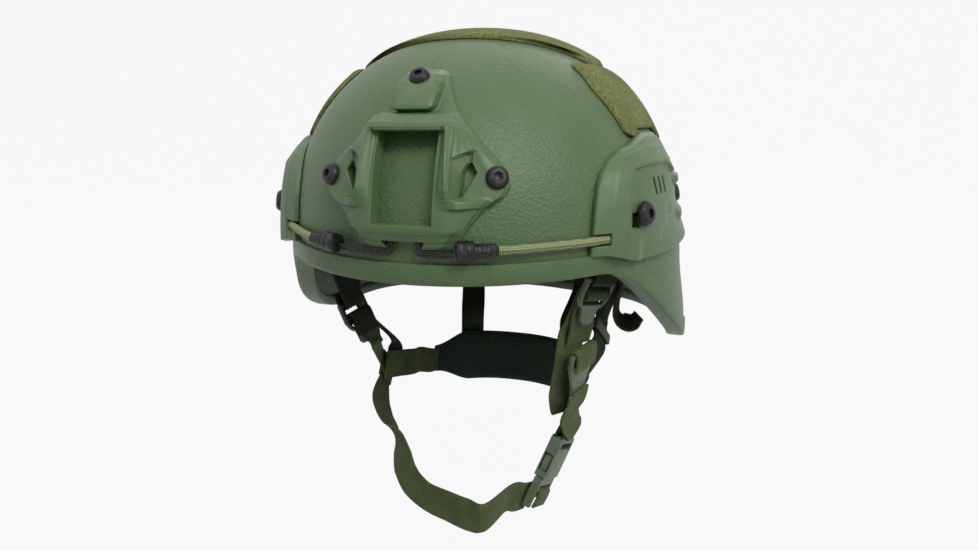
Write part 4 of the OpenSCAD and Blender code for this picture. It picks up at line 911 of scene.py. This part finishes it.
def nape_pad():
    """Curved pad, narrower at its ends, puffed on both faces, with piping round its edge."""
    u, v = eased_grid(72, 40)
    half = 21 * mix(1, 0.5, sm(0.64, 1.0, np.abs(u)))
    puff = 4.5 * np.maximum(0.22, (1 - np.abs(u) ** 6) ** 0.45 * (1 - np.abs(v) ** 5) ** 0.45)
    front_face, back_face = (nape(NAPE_HALF * u, v * half, o) for o in (-puff, puff))
    cushion = slab(front_face, back_face, np.ones((39, 71), bool))
    obj = piece("nape_cushion", *cushion, PAD_CLOTH, stands_for=["nape_pad"], slot="pad_fabric", sharp=60)
    low, high = (np.stack([NAPE_HALF * u[0], k * half[0]], -1) for k in (-1, 1))
    edge = np.concatenate([low, high[::-1], low[:2]])
    tube("nape_cushion_piping", curve(nape(edge[:, 0], edge[:, 1], 0), 1), 2.3, PIPING, sides=12)


# webbing
# the path of each strap by its name, for the stitches on it
RUNS = {}
STITCH_PITCH, STITCH_L, STITCH_D = 2.9, 2.3, 0.7


def strap(node, p, w, finish, times=1, slot="webbing", body="helmet",
          wide=WEB_W, name=None):
    """Webbing along p standing for a node; its path is kept by name for the stitches on it."""
    name = name or node + "_webbing"
    obj, path = ribbon(name, p, w, finish, wide, times, body=body, stands_for=[node], slot=slot)
    RUNS[name] = path
    path[3][-1] * 0.001
    return obj


def sew(obj, suffix, lines, finish, face=1, body="helmet"):
    """Stitches on a strap's face: along each line (u0, v0, u1, v1), mm across and along the strap,
    a negative v counted back from its end. A stitch is a small spindle whose radius is the root of
    a half sine along it."""
    p, n, b, run = RUNS[obj.name]
    starts, ends = [], []
    for u0, v0, u1, v1 in lines:
        v0, v1 = (v + run[-1] if v < 0 else v for v in (v0, v1))
        length = np.hypot(u1 - u0, v1 - v0)
        count = max(1, int(length / STITCH_PITCH))
        f, g = (np.arange(count) + 0.5) / count, STITCH_L / 2 / length
        for out, k in ((starts, f - g), (ends, f + g)):
            u, v = mix(u0, u1, k), mix(v0, v1, k)
            at, up, over = (np.stack([np.interp(v, run, c) for c in q.T], -1) for q in (p, n, b))
            out.append(at + unit(over) * u[:, None] + unit(up) * face * (WEB_T / 2 + 0.02))
    a, z = np.concatenate(starts), np.concatenate(ends)
    d = unit(z - a)
    x = unit(np.cross(d, [0.31, 0.22, 0.92]))
    y = np.cross(d, x)
    f, c = np.linspace(0.02, 0.98, 6), circle(6)[:, None]
    r = STITCH_D / 2 * np.sin(np.pi * f) ** 0.5
    around = x[:, None] * np.cos(c) + y[:, None] * np.sin(c)
    rings = mix(a[:, None], z[:, None], f[:, None])[:, :, None] + r[:, None, None] * around[:, None]
    first = (np.arange(len(a)) * 36)[:, None, None]
    caps = np.array([[5, 4, 3, 2, 1, 0], [30, 31, 32, 33, 34, 35]])
    faces = [(q + first).reshape(-1, q.shape[1]) for q in (quads(6, 6, False, True), caps)]
    piece(obj.name + suffix, rings.reshape(-1, 3), faces, finish, body=body, sharp=80)


def rows(half, *levels):
    """Lines straight across a strap, half to each side of its middle."""
    return [(-half, v, half, v) for v in levels]


def box_x(v0, v1):
    """Lines of a box with a cross in it."""
    u = 7.2
    return rows(u, v0, v1) + [(-u, v0, -u, v1), (u, v0, u, v1), (-u, v0, u, v1), (-u, v1, u, v0)]


def strap_end(t, z, lean, slant=0):
    """Centre line of a strap's end between shell and nut, leaving the shell by lean below it."""
    return [spot(t + down * slant, z - down, STRAP_O - off)
            for down, off in ((-8, 0), (0, 0), (9, 0.6), (21, lean))]


BAR_R, LOCK_SLOT = 1.7, 4.4
# frames of the moulded pieces and of where the straps meet: their place, X, and the way Y points
ADJUSTER = {1: ([82.5, -54.7, -22.8], [-0.553, -0.816, 0.167], [-0.346, 0.043, -0.937]),
            -1: ([-79, -52, -49], [0.1, 0.97, 0.05], [0.38, 0.05, -0.92])}
JOIN = {1: ([63, -47.5, -84], [0.746, 0.664, 0.047], [-0.142, 0.23, -0.96]),
        -1: ([-71.5, -20, -106], [-0.15, 0.86, 0.5], [0.1, 0.5, -0.86])}
KEEPER = ([79.3, -6, -71], [0.3, 0.63, -0.72], [-0.02, -0.75, -0.66])
BUCKLE = ([51.7, -46.7, -159.1], [-0.35, -0.352, -0.868], [0.193, 0.88, -0.435])
LOCK_MID = BAR_R + RUN_GAP + WEB_T + LOCK_SLOT
LEG_Z = 1.5 + RUN_GAP + WEB_T / 2
LOAD_Z = LEG_Z + WEB_T + SEAT_GAP
PLY = WEB_T + SEAT_GAP
BUCKLE_L, BUCKLE_W, BUCKLE_T = 28.0, 27.0, 9.0
MALE_Z = BUCKLE_T / 2 - 1.5 - RUN_GAP
MALE_BAR = RUN_GAP + 11.5
MALE_R = MALE_Z + RUN_GAP + 0.05 + WEB_T / 2
# the slide stands off the cheek strap, turned a little round its length
SLIDE = (in_frame(*JOIN[1], [6, 5, -(WEB_T / 2 + 0.4 + WEB_T + RUN_GAP + 2.3)]),
         [0.465, 0.874, 0.139], JOIN[1][2])


def place(frame_at, points):
    """Points given in one of those frames."""
    return in_frame(*frame_at, points)


def front_strap(s):
    """From its nut down to the loop round the adjuster's top bar."""
    at = ADJUSTER[s]
    x = np.array(at[1], float)
    r = BAR_R + RUN_GAP + WEB_T / 2
    e = strap_end(s * RAIL_SCREW_A, RAIL_SCREW_Z, 6, s * 0.25)
    w = np.cross(e[0] - e[2], normal(s * RAIL_SCREW_A, RAIL_SCREW_Z))
    w = w * (-1 if w @ x < 0 else 1)
    k = np.radians(np.arange(0, 181, 30))
    bend = vec(0, r * np.sin(k), -r * np.cos(k))
    loop = place(at, np.concatenate([[[0, -5, -r]], bend, [[0, -4, r], [0, -9, r - 0.4]]]))
    p = np.concatenate([curve(e + [place(at, [0, -12, -r])], 6), loop])
    ws = np.concatenate([steer([w, w, w, w + x * np.linalg.norm(w), x], 6), np.tile(x, (len(loop), 1))])
    # drawn in the painted-shade webbing, for the shadow it hangs in inside the shell
    obj = strap("front_strap_" + SIDE_NAME[s], p, ws, SHADED_WEB)
    # tacked on both faces in the painted-shade thread
    sew(obj, "_tack", rows(8, -12, -14), SHADED_THREAD)
    sew(obj, "_tack_in", rows(8, -12, -14), SHADED_THREAD, face=-1)


def strap_roll(s):
    """Webbing over the adjuster's middle bar, its loose end hanging behind the tongue."""
    m, k = LOCK_MID + 1.6, WEB_T / 2 + RUN_GAP
    t = m - 1.6 - k
    q = [[0, m + 12.5, -LOAD_Z], [0, m + 6, -LOAD_Z], [0, m, -LOAD_Z], [0, t + 0.9, 0.6 - LOAD_Z],
         [0, t, -LEG_Z], [0, t, 1], [0, t + 0.8, LEG_Z - 0.2], [0, m, LEG_Z + 0.1], [0, m + 1.9, LEG_Z - 0.3],
         [0, m + 1.6 + k, 1.1], [0, m + 1.7 + k, -1.3], [0, m + 2.6 + k, -LEG_Z - 0.1],
         [0, m + 7, -LEG_Z - 0.1]]
    loose = {1: [[-0.5, 15, 0], [-2.4, 20.5, 0.3], [-4.2, 26.2, 0.6], [-5.4, 32, 0.9], [-6.2, 37, 0.9]],
             -1: [[0, 13.4, 0.1]]}[s]
    p = place(ADJUSTER[s], np.concatenate([q, np.array(loose) + [0, LOCK_MID, -LEG_Z]]))
    # the right roll is drawn in the painted-shade webbing, for the shadow it sits in
    obj = strap("strap_roll_" + SIDE_NAME[s], p, ADJUSTER[s][1], WEB if s > 0 else SHADED_WEB,
                times=3, body=ADJUSTER_BODY[s])
    if s > 0:
        # the hem behind the tongue is stitched in the painted-shade thread
        sew(obj, "_hem", rows(8.5, -3, -9.5, -6.2), SHADED_THREAD, body="adjuster_l")


def ladder_lock(s):
    """Ladder lock: a round top bar in a bevelled plate with a wide slot each side of its middle bar,
    drawn in to a tongue; half width is linear between the listed levels."""
    at, m = ADJUSTER[s], LOCK_MID
    y = np.array([-1.2, m, m + 3.2, m + 3.2 + LOCK_SLOT, m + 8.9, m + 11, m + 14.5, m + 18, m + 20.5])
    w = np.interp(y, [-1.2, m + 4, m + 8.6, m + 11, m + 18, m + 20.5], [13.5, 13.5, 10.6, 7, 5.5, 3])
    inner = np.minimum(10.4, w * 0.78)
    x = np.stack([-w, -inner, 0 * w, inner, w], 1)
    high = np.full(x.shape, 1.5)
    high[4:, 2] += [0.1, 0.1, 0.2, 0.5, 0.3]
    keep = np.ones((8, 4), bool)
    keep[[0, 2], 1:3] = False

    def surface(a, b, o):
        return place(at, vec(a, b, o + 0.012 * np.maximum(0, b - m - 10) ** 2))

    name, body = "ladder_lock_" + SIDE_NAME[s], ADJUSTER_BODY[s]
    # the right lock is drawn near black, as painted shade over the same green plastic
    finish = GREEN_PLASTIC if s > 0 else SHADED_LOCK_PLASTIC
    plate = moulded(x, y[:, None], high, keep, surface, under=-high, step=1.5, edge=0.5, roll=0.45)
    piece(name, *plate, finish, body=body, stands_for=["adjuster_" + SIDE_NAME[s]], slot="green_plastic")
    along, d = (np.interp(np.linspace(0, 6, 49), np.arange(7), q) for q in (
        [-12.6, -12.5, -12.2, 0, 12.2, 12.5, 12.6], [0.55, 0.85, 1, 0.96, 1, 0.85, 0.55]))
    tube(name + "_bar", place(at, vec(along, 0, 0)), 2 * BAR_R * d, finish, body=body)


def cheek_straps():
    """From each adjuster down to where the straps meet, the upper end starting in line with the adjuster. The
    left one is drawn in at its lower end, the right one bunched where it twists."""
    drawn_in = [WEB_W] * 8 + [16, 11]
    bunched = [WEB_W, 18, 12, 8.5, 8.5, 11, 15, WEB_W, WEB_W]
    for s, start, end, wide in (
            (1, [[0, 14.3, 0], [0, 23, 0], [0, 31, -0.6]], [-12, 0, 12, 24, 34], drawn_in),
            (-1, [[0, 14.3, 0], [0, 20, -0.3], [0, 24, -0.3]], [-12, 0, 12], bunched)):
        a = place(ADJUSTER[s], np.array(start) + [0, LOCK_MID, -LOAD_Z])
        b = place(JOIN[s], [[0, y, 0] for y in end])
        p, w = strap_path([*a, *b], [-s * np.array(ADJUSTER[s][1])] * len(a) + [JOIN[s][1]] * len(b))
        obj = strap("cheek_strap_" + SIDE_NAME[s], p, w, WEB,
                    body=None, wide=wide)
        tuple(part(a[0])[0])
        tuple(part(a[2])[0])
        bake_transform(obj)


def side_strap(s, mid, ws, b):
    """From the side nut down behind the cheek strap to where the straps meet."""
    e = strap_end(s * RAIL_SCREW_B, RAIL_SCREW_Z, 4.5)
    t = np.cross([0, 0, s], normal(s * RAIL_SCREW_B, RAIL_SCREW_Z))
    w = place(JOIN[s], [4, 9, 0]) - JOIN[s][0]
    p, w = strap_path([*e, *mid, *place(JOIN[s], b)], [t] * 4 + ws + [w] * 3)
    # drawn in the painted-shade webbing, for the shadow it hangs in inside the shell
    return strap("side_strap_" + SIDE_NAME[s], p, w, SHADED_WEB, slot="dark_webbing")


def side_straps():
    """The left one passes the keeper; the right one hangs straight."""
    mid = [[97, 20, -28], [82.5, 9, -56], *place(KEEPER, [[0, y, 0] for y in (-12, -4, 4, 11)])]
    left = side_strap(1, mid, [[0.1, 1, -0.1], [0.2, 0.85, -0.45]] + [KEEPER[1]] * 4,
                      [[19, 7, PLY + 5], [9, 11, PLY + 0.8], [0, 15, PLY + 0.2]])
    # tacked in the painted-shade thread
    sew(left, "_tack", box_x(-14, -3), SHADED_THREAD)
    side_strap(-1, [[-110, 14, -33], [-103, 0, -66]], [[0, 1, 0], [0, 0.85, -0.5]],
               [[22, -2, -PLY - 0.2], [12, 2, -PLY - 0.5], [2, 6, -PLY - 0.5]])


def rear_straps():
    """From the rear nuts down to the nape pad's back."""
    for s in (1, -1):
        w = np.cross(normal(s * REAR_NUT_A, REAR_NUT_Z), [0, 0, 1])
        at_x = 49 if s > 0 else -37
        e = nape(at_x, 13, 4.5 + SEAT_GAP + WEB_T / 2 + 0.4)
        v = np.array([0.82, s * -0.57, 0])
        p, ws = strap_path([*strap_end(s * REAR_NUT_A, REAR_NUT_Z, 4), [at_x + s * 6, 103, -72],
                            e + [0, 2, 24], e + [0, 0.6, 9], e], [w, w, w, w, w + v, v, v, v])
        # drawn in the painted-shade webbing, for the shadow it hangs in inside the shell
        obj = strap("rear_strap_" + SIDE_NAME[s], p, ws, SHADED_WEB, slot="dark_webbing")
        # tacked on both faces in the painted-shade thread
        sew(obj, "_tack", box_x(-13, -2), SHADED_THREAD)
        sew(obj, "_tack_back", box_x(-13, -2), SHADED_THREAD, face=-1)


def nape_straps():
    """From the nape pad's ends forward to where the straps meet, flat on to the neck all the way."""
    for s in (1, -1):
        e = nape(s * 58, 0, 0)
        middle, x, y = (np.array(q) for q in JOIN[s])
        if s > 0:
            c = place(JOIN[s], [[27, 6, 2 * PLY + 12.5], [16, 6, 2 * PLY + 5.8], [6, 6, 2 * PLY + 1.3],
                                [-3, 6, 2 * PLY + 0.3]])
        else:
            back, inner = unit(e - middle), -axes(x, y)[2]
            y = y - back * (y @ back)
            c = [middle + d * back + off * inner for d, off in ((26, 6.5), (14, 4.6), (4, 4.2), (-7, 4.2))]
        p, w = strap_path([e, e + [s * 3.2, -9, 1], mix(e, c[0], 0.6) + [s * 4, 0, 0], *c],
                          [[0, 0.1, -1]] * 3 + [y] * 4)
        # the left one is drawn in the painted-shade webbing, for the shadow it hangs in
        strap("nape_strap_" + SIDE_NAME[s], p, w, WEB if s < 0 else SHADED_WEB)


def strap_tail():
    """Loose end of the left side strap, curled up under the flare."""
    pts = [[91.4, 13, -45.4], [88.8, 9.6, -52.5], [88.6, 6, -60], [91.2, 4.5, -65], [95.8, 5, -67],
           [100.4, 6, -65.8], [103.4, 7, -62]]
    first, last = np.array([[0.16, 1, -0.12], [-0.05, 0.94, 0.3]])
    p, w = strap_path(pts, mix(first, last, np.minimum(1, np.arange(7) / 4)[:, None]))
    strap("strap_tail_left", p, w, WEB)


def keeper():
    """Moulded keeper: a small rounded section carried round a rounded oblong."""
    a, b = circle(72)[:, None], circle(20)
    c, s = np.cos(a), np.sin(a)
    bo = swell(np.sin(b), 0.5)
    rings = vec(12.2 * swell(c, 0.16) + bo * 0.85 * np.sign(c) * (np.abs(c) > 0.3),
                3.5 * swell(np.cos(b), 0.35),
                2.0 * swell(s, 0.3) + bo * 0.62 * np.sign(s) * (np.abs(s) > 0.04))
    piece("strap_keeper", *lathe_skin(place(KEEPER, rings), closed=True), BROWN_PLASTIC,
          stands_for=["triglide_left"], slot="brown_plastic", sharp=50)


def slide_plate():
    """Stiff slide: a flat strip that narrows downwards, with one slot for its webbing."""
    y = np.array([-24, -21, -16, -14, -6, 2, 12.0])
    w = np.interp(y, [-24, -14, 2, 12], [12.4, 12.4, 7, 5])
    inner = np.minimum(10.4, w * 0.75)
    x = np.stack([-w, -inner, 0 * w, inner, w], 1)
    keep = np.ones((6, 4), bool)
    keep[1, 1:3] = False
    high = np.full(x.shape, 1.2)
    plate = moulded(x, y[:, None], high, keep, lambda a, b, o: place(SLIDE, vec(a, b, o)), under=-high,
                    step=1.6, edge=0.45)
    piece("cheek_slide", *plate, GREEN_PLASTIC, stands_for=["slide_left"], slot="green_plastic")


def slide_loop():
    """Webbing round the slide's top bar."""
    r = 2.3 + WEB_T / 2
    q = [[0, -12, r + 0.1], [0, -15, r], [0, -20, r], [0, -22.5 - r * 0.7, r * 0.72], [0, -22.5 - r, 0],
         [0, -22.5 - r * 0.7, -r * 0.72], [0, -20, -r], [0, -15, -r], [0, -12, -r]]
    obj = strap("slide_loop_left", place(SLIDE, q), SLIDE[1], WEB, times=3,
                name="slide_loop_webbing")
    sew(obj, "_tack_1", rows(8.5, -4, -6), THREAD)
    sew(obj, "_tack_0", rows(8.5, -4, -6), THREAD, face=-1)


# side-release buckle
def joined(solids):
    """Points and faces of several solids as one list."""
    first = running_sum([len(points) for points, _ in solids])
    return (np.concatenate([points for points, _ in solids]),
            [f + n for (_, faces), n in zip(solids, first) for f in faces])


def rounded_box(x0, x1, y0, y1, z0, z1):
    """Box with rounded edges: rings whose section is a superellipse, drawn in at both ends."""
    a = circle(36)
    e = min(0.5, (x1 - x0) / 4)
    x = np.array([x0, x0 + 0.12 * e, x0 + 0.5 * e, x0 + e, x1 - e, x1 - 0.5 * e, x1 - 0.12 * e, x1])
    k = np.array([1, 0.55, 0.13, 0, 0, 0.13, 0.55, 1]) * e
    y = (y0 + y1) / 2 + ((y1 - y0) / 2 - k)[:, None] * swell(np.cos(a), 0.28)
    z = (z0 + z1) / 2 + ((z1 - z0) / 2 - k)[:, None] * swell(np.sin(a), 0.28)
    return lathe_skin(vec(x[:, None], y, z))


def buckle_piece(name, node, solids, body="helmet"):
    """Moulded piece of the buckle from solids in the buckle's own frame."""
    points, faces = joined(solids)
    piece(name, place(BUCKLE, points), faces, GREEN_PLASTIC, body=body, stands_for=[node],
          slot="green_plastic", sharp=35)


def buckle_shell_half():
    """Female half: two domed faces joined by side walls, open at the mouth and at both side windows."""
    h, w, l = BUCKLE_T / 2, BUCKLE_W / 2, BUCKLE_L
    x = np.array([-l, -l + 3, -l + 7.4, -16, -4.5, 0])
    half = np.interp(x, [-l, -l + 2, -1, 0], [w - 1.5, w, w, w - 0.6])
    inner = np.minimum(10.4, half - 1) - 1
    y = np.stack([-half, -half + 1.6, -inner, 0 * half, inner, half - 1.6, half], 1)
    domed = h - 0.9 * (np.abs(y) / w) ** 4
    keep = np.ones((5, 6), bool)
    keep[1, 2:4] = False
    solids = [moulded(x[:, None], y, domed, keep, lambda a, b, o, s=s: vec(a, b, s * o),
                      under=np.full(y.shape, h - 1.5), step=1.6, edge=0.5) for s in (1, -1)]
    for s in (1, -1):
        y0, y1 = sorted((s * (w - 2.6 + RUN_GAP), s * (w - 0.15)))
        solids += [rounded_box(x0, x1, y0, y1, 0.75 - h, h - 0.75)
                   for x0, x1 in ((0.6 - l, -16), (-4.6, -0.1))]
    solids += [rounded_box(7.3 - l, -19, 1 - w, w - 1, 0.7 - h, h - 0.7),
               rounded_box(0.1 - l, 3.05 - l, 2 - w, w - 2, -1.5, 1.5)]
    buckle_piece("buckle_shell_half", "buckle_female", solids)


def buckle_tongue_half():
    """Male half: a plate with a slot and an open end, its guide tongue, and two sprung prongs."""
    w, z = BUCKLE_W / 2 - 0.4, MALE_Z
    x = np.array([RUN_GAP, 1.6, 5.8, 10.2, 13.6, 20.4])
    half = np.interp(x, [RUN_GAP, 1.4, 20.4], [w - 0.6, w, w])
    y = np.stack([-half, 0 * half - 10.4, 0 * half, 0 * half + 10.4, half], 1)
    keep = np.ones((5, 4), bool)
    keep[[2, 4], 1:3] = False
    high = z + 0.35 * (1 - (np.abs(y) / w) ** 2) * (x < 6)[:, None]
    plate = moulded(x[:, None], y, high, keep, vec, under=-high, step=1.4, edge=0.5, roll=0.4)
    guide = rounded_box(-15, 1, -2.6, 2.6, 0.4 - z, z - 0.4)
    buckle_piece("buckle_tongue_half", "buckle_male", [plate, guide], body="buckle_tongue")
    m = BUCKLE_W / 2 - 2.6
    x = np.array([0.35, -4.9, -5.0, -8, -12, -15, -17.8])
    outer = m + np.array([-0.2, -0.2, 1.6, 1.8, 1.8, 0.4, -0.9])
    inner = m + np.array([-2.6, -2.8, -2.8, -2.95, -2.8, -2.4, -2.1])
    y = mix(outer[:, None], inner[:, None], np.array([0, 0.5, 1.0]))
    high = np.full(y.shape, z - 0.3)
    prongs = [moulded(x[:, None], s * y, high, np.ones((6, 2), bool), vec, under=-high, step=1.2, edge=0.35,
                      roll=0.3) for s in (1, -1)]
    buckle_piece("buckle_side_prongs", "buckle_prongs", prongs, body="buckle_tongue")


def buckle_strap():
    """From behind the slide down, gathered, and through the female half's bar."""
    r = 1.55 + RUN_GAP + WEB_T / 2
    c = 1.5 - BUCKLE_L
    a = place(SLIDE, [[-1, 6.5, -2.5], [-1, 11, -2.5], [-2, 16, -2.4], [-5, 24, -1.4]])
    loop = place(BUCKLE, [[c - 9, 0, r + 0.8], [c - 4, 0, r], [c + 1.3, 0, r], [c + r - 0.35, 0, r - 0.35],
                          [c + r, 0, 1.3], [c + r, 0, -1.3], [c + r - 0.35, 0, 0.35 - r], [c + 1.3, 0, -r],
                          [c - 4, 0, -r], [c - 9, 0, 0.4 - r]])
    v, y = np.array(SLIDE[1]), np.array(BUCKLE[2])
    p = np.concatenate([curve([*a, loop[0]], 6), loop[1:]])
    w = np.concatenate([steer([v, v, v, v + y, y], 6), np.tile(y, (9, 1))])
    obj = strap("buckle_strap", p, w, WEB, times=2)
    sew(obj, "_tack_1", rows(8.5, 8, 10.2), THREAD)
    sew(obj, "_tack_0", rows(8.5, 8, 10.2), THREAD, face=-1)


def chin_straps():
    """The looped end in the male half, and the long strap with its half turn under the chin."""
    c, r = MALE_BAR, MALE_R
    q = [[c + 10, 0, -r], [c + 5, 0, -r], [c - 1.5, 0, -r], [c - 2.6, 0, 0.35 - r], [c - 2.95, 0, 1.4 - r],
         [c - 2.95, 0, r - 1.4], [c - 2.6, 0, r - 0.35], [c - 1.5, 0, r], [c + 4, 0, r], [c + 8, 0, r - 0.4]]
    strap("chin_strap_end", place(BUCKLE, q), BUCKLE[2], WEB, times=3,
          body="buckle_tongue")
    a = place(JOIN[-1], [[0, -4, PLY + 0.4], [0, 6, PLY + 1.5]])
    o = -MALE_R - PLY - 0.1
    b = place(BUCKLE, [[c + 6, -26, o - 2], [c + 6, -12, o], [c + 6, 4, o]])
    mid = [[-74, -26.6, -128], [-68, -35, -136], [-59, -43, -142], [-51, -51, -147], [-41, -65, -154],
           [-31, -76, -159], [-16, -86, -161], [0, -93, -160], [14, -98, -159.5], [25, -98, -159.5]]
    v, x = JOIN[-1][1], BUCKLE[1]
    turning = [[0.17, 0.91, -0.38], [0.05, 0.9, -0.4], [-0.26, 0.93, -0.25], [-0.61, 0.64, -0.47],
               [-0.8, 0.35, -0.5], [-0.6, 0.1, -0.8], [-0.35, 0.1, -0.93], [-0.2, 0, -0.98],
               [-0.12, -0.1, -0.99], [-0.05, 0.1, -0.98], [-0.2, 0, -0.9]]
    p, w = strap_path([*a, *mid, *b], [v, v, *turning, x, x])
    obj = strap("chin_strap", p, w, WEB, body=None)
    tuple(part(p[-20])[0])
    tuple(part(p[-44])[0])
    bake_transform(obj)


# every piece in its order, those of one side together
shell_wall()
edge_band()
shroud_plate()
screw("shroud_screw_top", 0, CAP_SCREW_Z, 9.6, 10, 2.8, 17.4)
screw("shroud_screw_left", WING_A, WING_Z, 5.4, 10.6, 3.2, 13.7)
screw("shroud_screw_right", -WING_A, WING_Z, 5.4, 10.6, 3.2, 13.7)
for s, side_name in SIDE_NAME.items():
    side_rail(s)
    screw("rail_screw_front_" + side_name, s * RAIL_SCREW_A, RAIL_SCREW_Z, 8.3, 13, 3.6, 21.5)
    screw("rail_screw_rear_" + side_name, s * RAIL_SCREW_B, RAIL_SCREW_Z, 5.1, 13, 3.6, 18.3)
    strap_nut(s, "front", RAIL_SCREW_A, RAIL_SCREW_Z)
    strap_nut(s, "side", RAIL_SCREW_B, RAIL_SCREW_Z)
    strap_nut(s, "rear", REAR_NUT_A, REAR_NUT_Z)
    side_patch(s)
    bungee(s)
    crimp(s)
    hook(s)
    comfort_pad("side_pad_front_" + side_name, s * 80, 34, 58, 40)
    comfort_pad("side_pad_rear_" + side_name, s * 124, 0, 62, 44)
    ladder_lock(s)
    front_strap(s)
    strap_roll(s)
crown_patch()
rear_patch()
crown_pad()
comfort_pad("front_pad", 0, 28, 92, 48)
comfort_pad("rear_pad", 180, -22, 92, 54)
nape_pad()
cheek_straps()
side_straps()
rear_straps()
nape_straps()
strap_tail()
keeper()
slide_plate()
slide_loop()
buckle_shell_half()
buckle_tongue_half()
buckle_strap()
chin_straps()


# floor, light, camera
def seen_directly(tree):
    """1 for the camera's own rays, in glossy and through clear surfaces, and 0 for all others."""
    ray = tree.nodes.new("ShaderNodeLightPath")
    seen = ray.outputs["Is Camera Ray"]
    for kind in ("Is Glossy Ray", "Is Transmission Ray"):
        either = tree.nodes.new("ShaderNodeMath")
        either.operation = "MAXIMUM"
        tree.links.new(seen, either.inputs[0])
        tree.links.new(ray.outputs[kind], either.inputs[1])
        seen = either.outputs[0]
    return seen


def floor_and_backdrop():
    """Pale floor under the chin strap that curves up far behind; the camera sees it nearly white."""
    low = cad_box[0][2] - 0.02
    x = np.linspace(-7, 7, 9)
    y = np.array([-4, 0, 1.2, 1.7, 2.05, 2.25, 2.32, 2.35])[:, None]
    z = low + np.array([0, 0, 0, 0.06, 0.25, 0.6, 1.2, 6])[:, None]
    mesh = bpy.data.meshes.new("studio_floor")
    mesh.from_pydata(vec(x, y, z).reshape(-1, 3).tolist(), [], quads(8, 9).tolist())
    mesh.polygons.foreach_set("use_smooth", np.ones(len(mesh.polygons), bool))
    obj = bpy.data.objects.new("studio_floor", mesh)
    bpy.context.scene.collection.objects.link(obj)
    f = Finish("studio_floor_paint", Roughness=0.9)
    f.set(Base_Color=f.blend(f.noise(400, 2), (0.30, 0.30, 0.30), (0.33, 0.33, 0.33)))
    glow = f.node("ShaderNodeEmission", None, (1, 1, 1, 1), 1.0)
    share = Socket(f, seen_directly(f.tree)) * 0.93
    both = f.node("ShaderNodeMixShader", None, share, Socket(f, f.shader.outputs[0]), glow)
    f.tree.links.new(both.out, f.tree.nodes["Material Output"].inputs[0])
    mesh.materials.append(f.material)


def soft_box(name, at, aim, size, watts):
    """Square area light at a place, turned to its aim."""
    lamp = bpy.data.lights.new(name, "AREA")
    lamp.shape, lamp.size, lamp.size_y, lamp.energy = "RECTANGLE", size[0], size[1], watts
    obj = bpy.data.objects.new(name, lamp)
    z = unit(np.array(at, float) - aim)
    x = unit(np.cross([0, 0, 1], z))
    obj.matrix_world = matrix(at, x, np.cross(z, x), z)
    bpy.context.scene.collection.objects.link(obj)


def matrix(at, x, y, z):
    """A 4 by 4 with those directions as its columns."""
    m = np.eye(4)
    m[:3, 0], m[:3, 1], m[:3, 2], m[:3, 3] = x, y, z, at
    return Matrix(m.tolist())


def photo_camera():
    """Camera fitted to the photograph: azimuth, elevation and roll in degrees, 21.8 mm lens."""
    az, el, roll = np.radians([15.74, 14.61, -0.24])
    d = np.array([-np.sin(az) * np.cos(el), np.cos(az) * np.cos(el), -np.sin(el)])
    r = np.array([np.cos(az), np.sin(az), 0])
    u = np.cross(r, d)
    r, u = np.cos(roll) * r + np.sin(roll) * u, np.cos(roll) * u - np.sin(roll) * r
    lens = bpy.data.cameras.new("photo_camera")
    lens.lens, lens.sensor_width, lens.sensor_fit, lens.clip_start = 21.845, 36, "HORIZONTAL", 0.01
    obj = bpy.data.objects.new("photo_camera", lens)
    obj.matrix_world = matrix((0.10936, -0.38627, -0.02275), r, u, -d)
    bpy.context.scene.collection.objects.link(obj)
    bpy.context.scene.camera = obj


def world_light():
    """White to the camera, in glossy and through clear surfaces; dim bluish grey light otherwise."""
    world = bpy.data.worlds.new("studio")
    world.use_nodes = True
    bpy.context.scene.world = world
    tree = world.node_tree
    tree.nodes.clear()
    both, out = tree.nodes.new("ShaderNodeMixShader"), tree.nodes.new("ShaderNodeOutputWorld")
    tree.links.new(seen_directly(tree), both.inputs[0])
    for socket, colour, strength in ((1, (0.9, 0.95, 1.0, 1), 0.15), (2, (0.95, 0.95, 0.95, 1), 1.0)):
        light = tree.nodes.new("ShaderNodeBackground")
        light.inputs["Color"].default_value, light.inputs["Strength"].default_value = colour, strength
        tree.links.new(light.outputs[0], both.inputs[socket])
    tree.links.new(both.outputs[0], out.inputs[0])


floor_and_backdrop()
soft_box("key_light", (0.62, -0.68, 0.72), (0, 0, 0), (0.5, 0.45), 6.8)
soft_box("top_light", (-0.32, -0.1, 1.08), (0, 0, 0), (0.8, 0.7), 2.2)
soft_box("left_light", (-1.1, -0.6, 0.4), (0, 0, -0.05), (0.8, 0.8), 1.1)
soft_box("right_light", (1.1, -0.5, 0.3), (0, 0, -0.05), (0.7, 0.7), 1.7)
soft_box("back_light", (0.1, 1.1, 0.8), (0, 0, 0), (0.9, 0.6), 2.4)
world_light()
photo_camera()
bpy.context.scene.view_settings.view_transform = "Standard"
